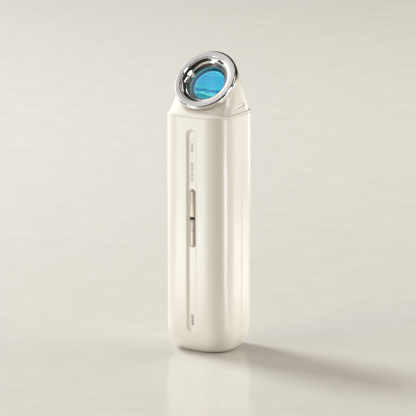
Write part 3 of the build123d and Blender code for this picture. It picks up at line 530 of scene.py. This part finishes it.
def effect(name, inputs, outputs):
    """A node group with named inputs and outputs, used by several materials."""
    group = bpy.data.node_groups.new(name, "ShaderNodeTree")
    for label, kind, value in inputs:
        socket = group.interface.new_socket(label, in_out="INPUT", socket_type=kind)
        if value is not None:
            socket.default_value = value
    for label, kind in outputs:
        group.interface.new_socket(label, in_out="OUTPUT", socket_type=kind)
    taken, given = (group.nodes.new(kind) for kind in ("NodeGroupInput", "NodeGroupOutput"))
    return group, taken.outputs, given


def maths(tree, operation, *values):
    """The result of one named operation on one or two values."""
    return add_node(tree, "Math", dict(enumerate(values)), operation=operation).outputs[0]


# Moulded plastic: a slow drift of tone through the piece, a change of roughness that follows the
# same drift, and the faint ripple that a polished mould leaves.
moulded, taken, given = effect(
    "moulded_surface",
    [("Colour", "NodeSocketColor", (0.8, 0.8, 0.8, 1)),
     ("Deep Colour", "NodeSocketColor", (0.7, 0.7, 0.7, 1)),
     ("Roughness", "NodeSocketFloat", 0.3), ("Grain", "NodeSocketFloat", 900.0)],
    [("Colour", "NodeSocketColor"), ("Roughness", "NodeSocketFloat"),
     ("Height", "NodeSocketFloat")],
)
place = own_place(moulded)
drift = noise(moulded, place, 38.0, 3.0)
wear = between(moulded, drift, 0, 1, 0.92, 1.12)
feed(moulded, given, {
    "Colour": mixed(moulded, drift, taken["Colour"], taken["Deep Colour"]),
    "Roughness": maths(moulded, "MULTIPLY", wear, taken["Roughness"]),
    "Height": noise(moulded, place, taken["Grain"]),
})


def plastic(name, colour, deep, roughness, grain=900.0, bump=0.02, coat=0.0):
    """A moulded plastic or rubber: the effect above feeds colour, roughness and bump."""
    material, tree, shader = new_material(name)
    surface = add_node(tree, "Group", {
        "Colour": (*colour, 1), "Deep Colour": (*deep, 1), "Roughness": roughness, "Grain": grain,
    }, node_tree=moulded)
    ripple = add_node(tree, "Bump", {
        "Height": surface.outputs["Height"], "Strength": bump, "Distance": 0.0002,
    })
    feed(tree, shader, {
        "Base Color": surface.outputs["Colour"], "Roughness": surface.outputs["Roughness"],
        "Normal": ripple.outputs["Normal"],
        "Coat Weight": coat, "Coat Roughness": 0.30, "Coat IOR": 1.6,
    })
    return material


ivory = plastic("glossy_ivory", (0.860, 0.840, 0.780), (0.845, 0.822, 0.758), 0.32,
                grain=700.0, bump=0.012, coat=1.0)
for piece in (front_casing, rear_casing):
    piece.data.materials.append(ivory)

# Shoulder bead. A flat moulded ring, clamped between casing and hood, whose outer top edge
# is rounded. It is the bright line round the shoulder.
shoulder_height, shoulder_rim = 1.5, 4.0
shoulder_round, shoulder_foot_round, shoulder_inner_round = 0.8, 0.35, 0.1


def full_columns():
    """Places once round a rounded rectangle: core corner, and its round and eased turns.

    Each quarter is a corner and the flat after it. Every second one runs its corner backwards
    and its flat along the other axis.
    """
    circle, eased = corner_turns()
    run = linspace(1, -1, 9)[1:-1]
    bend = stack([np.ones_like(circle), circle, eased])
    flat = columns_of(run, 1, 0, 1, run * eased[0, 1], 1).reshape(3, 2, -1).transpose(0, 2, 1)
    places = []
    for x, y in ((1, 1), (-1, 1), (-1, -1), (1, -1)):
        places += [bend[:, ::x * y] * (x, y), flat[..., ::x * y] * (x, y)]
    return concatenate([*places, places[0][:, :1]], 1)


def ring_skin(half_width, half_depth, radius, insets, heights):
    """A closed moulding carried round a rounded rectangle: one loop of points per profile point.

    A point is its core corner, at the half sizes less the radius, plus its eased turn times
    the radius less the profile's inset.
    """
    core, _, eased = full_columns()
    flat = core * (half_width - radius, half_depth - radius)
    across = flat + eased * (radius - insets)[:, None, None]
    upright = np.broadcast_to(heights[:, None, None], (*across.shape[:2], 1))
    return concatenate([across, upright], -1)


bead_top = top + shoulder_height
bead_middle = shoulder_rim / 2
bead_line = rounded_profile(
    [(bead_middle, top), (0.0, top), (0.0, bead_top), (shoulder_rim, bead_top),
     (shoulder_rim, top), (bead_middle, top)],
    [0, shoulder_foot_round, shoulder_round, shoulder_inner_round, shoulder_inner_round, 0], 9,
)
shoulder_bead = make_piece("shoulder_bead", [
    ring_skin(width / 2, depth / 2, corner, bead_line[:, 0], bead_line[:, 1])
])
shoulder_bead.data.materials.append(ivory)
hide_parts("shoulder_ring")

# Hood. One ivory moulding that leans forward from the shoulder and turns from a rounded
# rectangle into the circle behind the treatment ring. A slot in each side takes a catch.
ring_tilt = radians(41.5)
ring_out = array([0, -cos(ring_tilt), sin(ring_tilt)])
ring_up = array([0, sin(ring_tilt), cos(ring_tilt)])
ring_radius, ring_back = 20.0, 3.6
ring_centre = array([0, 1.95 - depth / 2, top + 5.72]) + ring_up * ring_radius
hood_width, hood_depth, hood_corner, hood_wall, hood_rim = 42.0, 37.0, 10.6, 1.5, 19.0
hood_back_legs, hood_front_legs, hood_inner_legs = (9.0, 3.0), (0.8, 1.0), (0.2, 3.0)


def cubic(points, share):
    """Points on the cubic curve with four control points: its cubic weights times them."""
    share = np.asarray(share)[:, None]
    rest = 1 - share
    return (rest**3 * points[0] + 3 * rest**2 * share * points[1]
            + 3 * rest * share**2 * points[2] + share**3 * points[3])


def hood_skin(share, inset, front_legs, edge):
    """Tilting rounded rectangles hung between the hood's front and back curves.

    share runs from the shoulder at 0 to the ring at 1. Both curves rise straight up from the
    shoulder and meet the ring square on, and their legs say for how long they do so. Width
    and corner change evenly with share. edge draws single rows in, for a rounded rim.
    """
    lift = array([0, 0, 1.0])
    middle = ring_centre - ring_out * ring_back
    curves = []
    for side, (foot_leg, top_leg) in ((1, hood_back_legs), (-1, front_legs)):
        foot_point = array([0, side * (hood_depth / 2 - inset), bead_top])
        top_point = middle + side * ring_up * (hood_rim - inset)
        curves.append(cubic((foot_point, foot_point + lift * foot_leg,
                             top_point - ring_out * top_leg, top_point), share))
    back, front = curves
    length = np.linalg.norm(back - front, axis=1, keepdims=True)
    along = (back - front) / length
    half_width = (hood_width + (2 * hood_rim - hood_width) * share) / 2 - inset
    radius = hood_corner + (hood_rim - 0.002 - hood_corner) * share - inset
    core, circle, eased = full_columns()
    turn = eased + (circle - eased) * share[:, None, None]
    reach = stack([half_width, length[:, 0] / 2], -1) - radius[:, None]
    flat = core * reach[:, None] + turn * (radius - edge)[:, None, None]
    centre = (back + front)[:, None] / 2
    return centre + flat[..., :1] * array([1.0, 0, 0]) + flat[..., 1:] * along[:, None]


hood_share = concatenate([linspace(0, 0.97, 56), [0.982, 0.99, 0.995, 1.0]])
hood_edge = concatenate([np.zeros(57), [0.02, 0.08, 0.25]])
hood_outer = hood_skin(hood_share, 0.0, hood_front_legs, hood_edge)
hood_inner = hood_skin(hood_share, hood_wall, hood_inner_legs, hood_edge * 0)
hood = make_piece("hood", [
    hood_outer, hood_inner, stack([hood_outer[0], hood_inner[0]]),
    stack([hood_outer[-1], hood_inner[-1]]),
])

# Slots for the catches, cut through both sides with one oval bar.
catch_length, catch_height, catch_back, catch_rise = 10.1, 2.0, 1.15, 3.95
catch_lean = radians(3)


def oval(length, height, steps=16):
    """An oval with two straight sides: half circles about two centres, as one closed line."""
    half_turn = linspace(-pi / 2, pi / 2, steps + 1)
    angle = concatenate([half_turn, half_turn + pi])
    centre = np.repeat((1, -1), steps + 1) * (length - height) / 2
    return stack([centre + np.cos(angle) * height / 2, np.sin(angle) * height / 2], -1)


def prism(outline, start, end, to_space):
    """A closed straight bar: an outline carried from start to end, with both ends filled.

    Each end is filled by triangles to the middle of its points.
    """
    count = len(outline)
    centre = np.tile(outline.mean(0), (count, 1))
    rows = stack([
        concatenate([line, full((count, 1), at)], -1)
        for line, at in ((centre, start), (outline, start), (outline, end), (centre, end))
    ])
    rows = concatenate([rows, rows[:, :1]], 1)
    return to_space(rows)


def side_view(rows):
    """An outline in the side view, turned by the catch's lean about its middle.

    The outline's two axes run along the depth and upwards, and the bar from side to side.
    """
    a, b = rows[..., 0], rows[..., 1]
    return stack([rows[..., 2], catch_back + a * cos(catch_lean) - b * sin(catch_lean),
                  bead_top + catch_rise + a * sin(catch_lean) + b * cos(catch_lean)], -1)


slot_bar = make_piece("slot_bar", [
    prism(oval(catch_length, catch_height), -hood_width, hood_width, side_view)
])
cut = hood.modifiers.new("slots", "BOOLEAN")
cut.operation = "DIFFERENCE"
cut.solver = "EXACT"
cut.object = slot_bar
bpy.context.view_layer.update()
depsgraph = bpy.context.evaluated_depsgraph_get()
cut_mesh = bpy.data.meshes.new_from_object(hood.evaluated_get(depsgraph))
hood.modifiers.clear()
hood.data = cut_mesh
hood.data.name = "hood"
bpy.data.objects.remove(slot_bar)
hood.data.materials.clear()
hood.data.materials.append(ivory)
hood.data.shade_smooth()
hood.data.set_sharp_from_angle(angle=radians(32))
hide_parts("head_shell")

# Treatment ring. A turned and chromed ring: its face is satin, with the fine circles that
# the lathe leaves, and both its edges are polished round. A spigot behind it enters the hood.
face_inner, face_outer, face_fade, face_dish = 16.44, 18.88, 0.06, 0.14
ring_bore, ring_mouth, ring_thickness, lip_depth = 16.0, 15.8, 2.3, 0.6
spigot_radius, spigot_depth = 16.6, 5.2


def turned(line, segments=160):
    """A shape turned on the ring's axis: each profile point (radius, height) runs round it.

    A point is the ring's centre, plus the radius times a spoke and the height times the axis.
    A spoke is the cosine of its angle sideways and the sine of it up the ring's face.
    """
    angle = linspace(0, 2 * pi, segments + 1)
    spoke = np.cos(angle)[:, None] * array([1.0, 0, 0]) + np.sin(angle)[:, None] * ring_up
    return (ring_centre + line[:, 0, None, None] * spoke
            + line[:, 1, None, None] * ring_out)


ring_line = rounded_profile(
    [(spigot_radius, -face_dish), (ring_radius, 0), (ring_radius, -ring_thickness),
     (spigot_radius, -ring_thickness), (spigot_radius, -spigot_depth), (ring_bore, -spigot_depth),
     (ring_bore, -lip_depth), (ring_mouth, -lip_depth), (ring_mouth, -face_dish - 0.03),
     (spigot_radius, -face_dish)],
    [0, 1.1, 0.2, 0, 0.1, 0.1, 0, 0, 0.40, 0], 12,
)
treatment_ring = make_piece("ring_of_chrome", [turned(ring_line)], sharp=40)
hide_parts("treatment_ring")

# Turned metal: circles about the ring's axis, read from the piece's own place, so that they
# follow the lathe. It gives the distance from the axis and the height of the fine circles.
lathe, taken, given = effect(
    "lathe_circles",
    [("Pitch", "NodeSocketFloat", 2600.0)],
    [("Distance", "NodeSocketFloat"), ("Height", "NodeSocketFloat"), ("Drift", "NodeSocketFloat")],
)


def on_the_ring(tree, place):
    """A place seen from the ring: across its face, up its face, and out along its axis."""
    return add_node(tree, "Mapping", {
        "Vector": place, "Location": tuple(ring_centre * MM),
        "Rotation": (pi / 2 - ring_tilt, 0, 0),
    }, vector_type="TEXTURE").outputs["Vector"]


place = own_place(lathe)
split = add_node(lathe, "SeparateXYZ", {"Vector": on_the_ring(lathe, place)}).outputs
squares = [maths(lathe, "MULTIPLY", split[axis], split[axis]) for axis in ("X", "Y")]
distance = maths(lathe, "SQRT", maths(lathe, "ADD", *squares))
phase = maths(lathe, "MULTIPLY", distance, taken["Pitch"])
feed(lathe, given, {
    "Distance": distance, "Height": maths(lathe, "SINE", phase),
    "Drift": noise(lathe, place, 120.0),
})


def turned_on_lathe(tree, pitch=0.3):
    """The lathe effect's outputs, with one fine circle to each pitch."""
    return add_node(tree, "Group", {"Pitch": 2 * pi / (pitch * MM)}, node_tree=lathe).outputs


chrome_ring, tree, shader = new_material("satin_and_polished_chrome")
circles = turned_on_lathe(tree, 0.42)
inside, outside = (
    between(tree, circles["Distance"], (edge - face_fade) * MM, (edge + face_fade) * MM, *results)
    for edge, results in ((face_inner, (0.0, 1.0)), (face_outer, (1.0, 0.0)))
)
satin = maths(tree, "MULTIPLY", inside, outside)
lines = add_node(tree, "Bump", {
    "Height": maths(tree, "MULTIPLY", circles["Height"], satin),
    "Strength": 0.35, "Distance": 0.00001,
})
feed(tree, shader, {
    "Base Color": ramp(tree, circles["Drift"], (0.0, 0.72, 0.71, 0.70), (1.0, 0.80, 0.79, 0.78)),
    "Roughness": between(tree, satin, 0, 1, 0.05, 0.30), "Metallic": 1.0,
    "Normal": lines.outputs["Normal"],
})
treatment_ring.data.materials.append(chrome_ring)


def metal(name, colour, deep, roughness, bump=0.1):
    """A turned or drawn metal: circles about the axis, with a slow drift of tone."""
    material, tree, shader = new_material(name)
    circles = turned_on_lathe(tree)
    lines = add_node(tree, "Bump", {
        "Height": circles["Height"], "Strength": bump, "Distance": 0.000004,
    })
    spread = (roughness * 0.85, roughness * 1.15)
    feed(tree, shader, {
        "Base Color": mixed(tree, circles["Drift"], (*colour, 1), (*deep, 1)),
        "Roughness": between(tree, circles["Drift"], 0.3, 0.7, *spread), "Metallic": 1.0,
        "Normal": lines.outputs["Normal"],
    })
    return material


# Ring collar. A thin anodised spacer in a champagne tone, slid over the ring's spigot: it is
# the warm line under the chrome.
collar_outer, collar_inner, collar_foot, collar_edge = 19.85, 16.7, 3.6, 0.12
collar_line = rounded_profile(
    [(18.0, -ring_thickness), (collar_outer, -ring_thickness), (collar_outer, -collar_foot),
     (collar_inner, -collar_foot), (collar_inner, -ring_thickness), (18.0, -ring_thickness)],
    [0, collar_edge, collar_edge, 0, 0, 0], 5,
)
collar = make_piece("collar", [turned(collar_line)], sharp=40)
collar.data.materials.append(
    metal("champagne_anodised", (0.84, 0.74, 0.64), (0.78, 0.68, 0.58), 0.28)
)
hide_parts("ring_collar")

# Reflector cup. A spun and polished collar that rolls in from the ring to the glass, so that
# it mirrors the room in curved bands and hides a little of the bezel on its near side.
cup_mouth, cup_foot, cup_bulge = array([ring_mouth, -lip_depth]), array([12.3, -3.9]), 1.0
cup_back = [(15.9, -0.6), (15.9, -2.6), (14.2, -4.2), (12.3, -4.2)]
chord = np.hypot(*(cup_mouth - cup_foot))
along = (cup_mouth - cup_foot) / chord
bend = 2 * atan(2 * cup_bulge / chord)
turn = linspace(-bend, bend, 33)[:, None]
roll = (cup_mouth + cup_foot) / 2 + chord / 2 / sin(bend) * (
    along * np.sin(turn) + array([-along[1], along[0]]) * (np.cos(turn) - cos(bend))
)
cup_line = concatenate([roll, cup_back, roll[:1]])
cup = make_piece("cup", [turned(cup_line)], sharp=40)
mirror = metal("polished_cup", (0.80, 0.78, 0.75), (0.76, 0.74, 0.71), 0.05, 0.02)
cup.data.materials.append(mirror)
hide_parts("reflector_cup")

# Lens bezel. A turned and rose-gold plated ring, pushed in under the cup, whose rounded lip
# holds the glass.
bezel_inner, bezel_outer, bezel_front, bezel_back, bezel_round = 11.3, 12.2, -3.8, -5.4, 0.38
bezel_line = rounded_profile(
    [(11.7, -4.2), (bezel_inner, -4.2), (bezel_inner, bezel_front), (bezel_outer, bezel_front),
     (bezel_outer, bezel_back), (11.7, bezel_back), (11.7, -4.2)],
    [0, bezel_round / 2, bezel_round, bezel_round, 0, 0, 0], 6,
)
bezel = make_piece("bezel", [turned(bezel_line)], sharp=40)
bezel.data.materials.append(metal("rose_gold", (0.40, 0.28, 0.23), (0.34, 0.23, 0.19), 0.12))
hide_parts("lens_bezel")

# Treatment window. A thick disc of clear blue-green glass with ground, chamfered edges and
# a coating that keeps its faces from mirroring the room.
glass_radius, glass_front, glass_back, glass_chamfer = 11.6, -4.2, -7.1, 0.3
glass_line = rounded_profile(
    [(0, glass_front), (glass_radius, glass_front), (glass_radius, glass_back), (0, glass_back)],
    [0, glass_chamfer, glass_chamfer, 0], 4,
)
window = make_piece("window", [turned(glass_line)], sharp=40)
glass, tree, shader = new_material("blue_green_glass")
feed(tree, shader, {
    "Roughness": between(tree, turned_on_lathe(tree)["Drift"], 0, 1, 0.0, 0.03),
    "Base Color": (0.28, 0.82, 0.92, 1), "Transmission Weight": 1.0, "IOR": 1.45,
    "Specular IOR Level": 0.12,
})
window.data.materials.append(glass)
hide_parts("treatment_lens")

# Lit filter behind the glass. Its light is banded: sky blue with paler streaks across, and sea
# green and deep blue bands towards its lower edge, all painted reflections; upper left, a pale arc
# is a painted highlight and a dark rim is the barrel rim's painted shadow.
lit, tree, shader = new_material("lit_filter")
on_face = on_the_ring(tree, own_place(tree))
split = add_node(tree, "SeparateXYZ", {"Vector": on_face}).outputs
stretch = add_node(tree, "Mapping", {"Vector": on_face, "Scale": (110.0, 330.0, 1.0)})
# Painted streaks: paler streaks across the disc, drawn from stretched noise.
painted_streaks = between(tree, noise(tree, stretch.outputs["Vector"], 1.0), 0.3, 0.7, -0.05, 0.05)
upwards = between(tree, split["Y"], -0.0102, 0.0102, 0.0, 1.0)
# Painted reflections: bands by height on the disc, deep blue and sea green low down, paler up to
# white at the top.
painted_reflection_bands = ramp(
    tree, maths(tree, "ADD", painted_streaks, upwards),
    (0.00, 0.02, 0.33, 0.37), (0.10, 0.06, 0.46, 0.52), (0.15, 0.02, 0.24, 0.33),
    (0.19, 0.16, 0.61, 0.60), (0.22, 0.72, 0.96, 0.75), (0.25, 0.20, 0.61, 0.64),
    (0.30, 0.06, 0.28, 0.54), (0.35, 0.04, 0.22, 0.50), (0.39, 0.12, 0.48, 0.62),
    (0.43, 0.14, 0.65, 0.67), (0.49, 0.16, 0.51, 0.71), (0.80, 0.16, 0.49, 0.72),
    (0.84, 0.44, 0.72, 0.81), (0.88, 0.16, 0.49, 0.71), (0.94, 0.40, 0.70, 0.79),
    (1.00, 1.0, 1.0, 1.0),
)
from_axis = turned_on_lathe(tree)["Distance"]
upper_left = maths(tree, "SUBTRACT", split["Y"], split["X"])
# Painted highlight: a pale arc upper left, at a set distance from the axis.
arc = maths(tree, "MULTIPLY", between(tree, from_axis, 0.0088, 0.0091, 0.0, 1.0),
            between(tree, from_axis, 0.0093, 0.0096, 1.0, 0.0))
painted_highlight_arc = maths(tree, "MULTIPLY", arc, between(tree, upper_left, -0.002, 0.006, 0.0, 0.55))
# Painted shadow of the barrel's rim: a dark band round the disc's edge, upper left.
painted_rim_shadow = maths(tree, "MULTIPLY", between(tree, from_axis, 0.0096, 0.0099, 0.0, 1.0),
                 between(tree, upper_left, -0.004, 0.002, 0.0, 0.95))
light = mixed(tree, painted_rim_shadow, mixed(tree, painted_highlight_arc, painted_reflection_bands, (0.80, 0.90, 0.92, 1)),
              (0.008, 0.06, 0.13, 1))
feed(tree, shader, {
    "Base Color": light, "Emission Color": light, "Emission Strength": 0.75, "Roughness": 0.25,
})


def dress(material, *nodes):
    """Gives CAD nodes, whose shape is already right, their finish through their slots."""
    for name in nodes:
        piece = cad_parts[name]
        if not piece.data.materials:
            piece.data.materials.append(material)
        for slot in piece.material_slots:
            slot.link = "OBJECT"
            slot.material = material


dress(lit, "filter_disc")

# Gasket under the glass, its light and shade painted on: a glowing sea green where the light
# reaches it, a thin copper-coloured painted glint, and a dark inner lip of painted shade. The
# glass's own edge mirrors it all round.
seat, tree, shader = new_material("seat_gasket")
circles = turned_on_lathe(tree)
# Painted light and shade by distance from the axis: dark painted shade at the inner lip, a copper
# painted glint, then a painted sea green glow.
painted_gasket_light = ramp(
    tree, between(tree, circles["Distance"], 0.0102, 0.0117, 0.0, 1.0),
    (0.0, 0.004, 0.05, 0.08), (0.38, 0.006, 0.09, 0.13), (0.43, 0.22, 0.18, 0.11),
    (0.48, 0.20, 0.18, 0.11), (0.53, 0.004, 0.27, 0.36), (1.0, 1.0, 1.0, 1.0),
)
feed(tree, shader, {
    "Base Color": painted_gasket_light, "Emission Color": painted_gasket_light, "Emission Strength": 0.40,
    "Roughness": between(tree, circles["Drift"], 0.3, 0.7, 0.25, 0.4), "Specular IOR Level": 0.1,
})
dress(seat, "lens_gasket")

# Buttons. The champagne bar is two anodised keys with a crowned top: the upper one carries
# a dot, the lower one the usual sign for power. Each has a flange that keeps it in the slot.
crown_front, crown_depth = 0.25, 0.7
bar_middle, bar_split = 82.8, 1.2
key_depth, flange_back, stem_back = 3.1, 3.9, 5.8
end_round = 0.4


def front_view(rows):
    """Outline on the front face: across, height, and the depth behind the face."""
    return stack([rows[..., 0], rows[..., 2] - depth / 2, rows[..., 1]], -1)


def key_skin(side):
    """Half the oval bar, with loops drawn in towards its middle line to form the crown.

    A loop's inset is the half width times 1 less the cosine of an even swing, and its depth
    follows 1 less the sine. Every point moves in along its own direction. Those of the two
    small corners run along the diagonal once their rounding is used up.
    """
    reach = abs((button_high if side > 0 else button_low) - bar_middle)
    arc, small, swing = linspace(0, pi, 33), linspace(0, pi / 2, 7), linspace(0, pi / 2, 15)
    inset = concatenate([[0.0], button_half * (1 - np.cos(swing))])[:, None]
    sunk = concatenate([[key_depth], crown_front + crown_depth * (1 - np.sin(swing))])[:, None]
    half, left = button_half - inset, np.maximum(end_round - inset, 0)
    foot = np.maximum(inset, end_round) + bar_split / 2
    across = concatenate([
        half * np.cos(arc), left - half - left * np.cos(small), half - left + left * np.sin(small),
    ], 1)
    along = concatenate([
        reach + half * np.sin(arc), foot - left * np.sin(small), foot - left * np.cos(small),
    ], 1)
    rows = stack(np.broadcast_arrays(across, bar_middle + side * along, sunk), -1)
    rows = concatenate([rows, rows[:, :1]], 1)
    back = rows[:1].copy()
    back[..., :2] = rows[0, :, :2].mean(0)
    return front_view(concatenate([back, rows]))


plate_half, stem_radius, stem_away, stem_lift = 3.0, 1.2, 9.1, 1.9
champagne_key = metal("champagne_keys", (0.54, 0.475, 0.40), (0.49, 0.43, 0.36), 0.42, 0.05)
for label, side in (("mode", 1), ("power", -1)):
    end = bar_middle + side * bar_split / 2
    far = (button_high if side > 0 else button_low) + side * button_half
    plate = array([(-plate_half, end), (plate_half, end), (plate_half, far), (-plate_half, far)])
    press = bar_middle + side * stem_away + stem_lift
    ring = linspace(0, 2 * pi, 33)[:-1]
    stem = stack([stem_radius * np.cos(ring), press + stem_radius * np.sin(ring)], -1)
    key = make_piece(f"{label}_key", [
        key_skin(side), prism(plate, key_depth, flange_back, front_view),
        prism(stem, flange_back, stem_back, front_view),
    ], sharp=40, body=f"{label}_key")
    key.data.materials.append(champagne_key)
    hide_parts(f"{label}_button")

# Signs on the keys, etched and filled dark: a dot on the upper one, and the usual broken
# circle with a bar on the lower one.
sign_lift, sign_line, sign_radius = 0.02, 0.085, 0.62
power_at, dot_at, dot_half = 75.9, 93.5, 0.24


def crown_at(across):
    """Depth of the crowned key's surface: an ellipse over its width."""
    return crown_front + crown_depth * (1 - np.sqrt(clip(1 - (across / button_half) ** 2, 0, 1)))


def ribbon(centre_line, half):
    """A flat strip along a line on the key's crown, with a thin edge all round it.

    Its two edges are the line moved by half its width along the line's normal.
    """
    step = np.gradient(centre_line, axis=0)
    normal = stack([-step[:, 1], step[:, 0]], -1) / np.linalg.norm(step, axis=1, keepdims=True)
    left, right = centre_line + normal * half, centre_line - normal * half
    loop = stack([left, right, right, left, left])
    sunk = crown_at(loop[..., 0]) + array([-1, -1, 2, 2, -1])[:, None] * sign_lift
    skin = front_view(concatenate([loop, sunk[..., None]], -1))
    ends = [stack([skin[:2, at], skin[[3, 2], at]]) for at in (0, -1)]
    return [skin, *ends]


ink = plastic("dark_ink", (0.075, 0.068, 0.060), (0.060, 0.055, 0.050), 0.5, 2500.0, 0.05)
angle = linspace(radians(120), radians(420), 41)
power_ring = stack([sign_radius * np.cos(angle), power_at + sign_radius * np.sin(angle)], -1)
power_bar = stack([np.zeros(5), power_at + linspace(0.12, 0.86, 5)], -1)
power_sign = make_piece(
    "power_sign", ribbon(power_ring, sign_line) + ribbon(power_bar, sign_line), body="power_key"
)
dot_line = stack([np.zeros(3), dot_at + linspace(-dot_half, dot_half, 3)], -1)
mode_sign = make_piece("mode_sign", ribbon(dot_line, dot_half), body="mode_key")
for sign in (power_sign, mode_sign):
    sign.data.materials.append(ink)

# Printed marks on the groove's floor: short grey ticks under each light, and a plain dark
# scale of dashes near the groove's foot. Each is a film of ink that stands just proud.
film = 0.015
tick_half, tick_tall, tick_pitch, tick_side = 0.80, 0.62, 1.5, -0.2
dash_half, dash_tall, dash_pitch, dash_low = 0.85, 0.55, 1.15, 17.8


def floor_marks(across, heights, half, tall):
    """Thin flat rectangles of ink on the groove's floor, one at each height."""
    corners = array([(-half, -tall / 2), (half, -tall / 2), (half, tall / 2), (-half, tall / 2)])
    return [prism(corners + (across, height), groove_depth - film, groove_depth + film, front_view)
            for height in heights]


grey_ink = plastic("grey_ink", (0.33, 0.315, 0.285), (0.29, 0.275, 0.25), 0.55, 2500.0, 0.05)
tick_heights = concatenate([127.9 - tick_pitch * np.arange(4), 116.3 - tick_pitch * np.arange(8)])
ticks = make_piece("printed_ticks", floor_marks(tick_side, tick_heights, tick_half, tick_tall))
ticks.data.materials.append(grey_ink)
dash_heights = dash_low + dash_pitch * np.arange(6)
scale_marks = make_piece("printed_scale", floor_marks(0.0, dash_heights, dash_half, dash_tall))
scale_marks.data.materials.append(ink)

# Indicator windows: small domed light pipes of mint plastic, pushed into the groove's floor
# from behind and lit by a small chip each.
mint = plastic("mint_light_pipe", (0.74, 0.88, 0.81), (0.70, 0.86, 0.78), 0.22, 1500.0, 0.02)
dress(mint, "indicator_upper", "indicator_lower")

# Pieces inside and underneath, which keep their CAD shape. Each group has the finish of its
# trade: rubber, moulded plastic, board, film, sleeve, anodised or bright metal. The foot pad's
# near black is painted shade, and the catch's bright white is painted light.
# The foot pad's rubber is darkened almost to black as painted shade: it draws the dark contact
# line under the base. The neck seal shares it.
dress(plastic("black_rubber_and_painted_contact_shade", (0.035, 0.032, 0.026), (0.026, 0.024, 0.019), 0.75, 2200.0, 0.2),
      "base_pad", "neck_seal")
dress(plastic("barrel_enamel", (0.02, 0.34, 0.42), (0.01, 0.26, 0.34), 0.2, 1600.0, 0.05, 0.5),
      "lens_barrel")
dress(plastic("inner_white", (0.78, 0.76, 0.71), (0.72, 0.70, 0.65), 0.45, 1200.0, 0.1),
      "base_bracket", "battery_cradle", "mode_plunger", "power_plunger", "indicator_leds",
      "led_chips")
# Painted light: the catch is whitened past the ivory so that it reads bright in the shade of its
# slot.
dress(plastic("catch_white_painted_light", (0.95, 0.94, 0.91), (0.94, 0.93, 0.90), 0.28, 700.0, 0.01, 1.0),
      "neck_frame")
dress(plastic("switch_black", (0.03, 0.03, 0.032), (0.02, 0.02, 0.022), 0.5, 1600.0, 0.15),
      "board_chips", "board_connectors", "port_tongue", "mode_switch", "power_switch")
dress(plastic("solder_mask", (0.02, 0.10, 0.055), (0.015, 0.08, 0.045), 0.35, 1400.0, 0.2, 0.3),
      "main_board", "charge_board", "led_board")
dress(plastic("amber_film", (0.42, 0.20, 0.05), (0.36, 0.16, 0.04), 0.35, 1400.0, 0.1), "led_flex")
dress(plastic("cell_sleeve", (0.05, 0.13, 0.36), (0.04, 0.10, 0.30), 0.3, 1000.0, 0.05, 0.3),
      "battery_cell")
dress(metal("dark_anodised", (0.10, 0.10, 0.105), (0.07, 0.07, 0.075), 0.45, 0.3),
      "heat_sink", "retaining_ring")
dress(metal("bright_steel", (0.62, 0.61, 0.59), (0.54, 0.53, 0.51), 0.28, 0.2),
      "base_screws", "board_screws", "cradle_screws", "neck_screws", "heat_sink_screws",
      "battery_contacts", "charge_port")
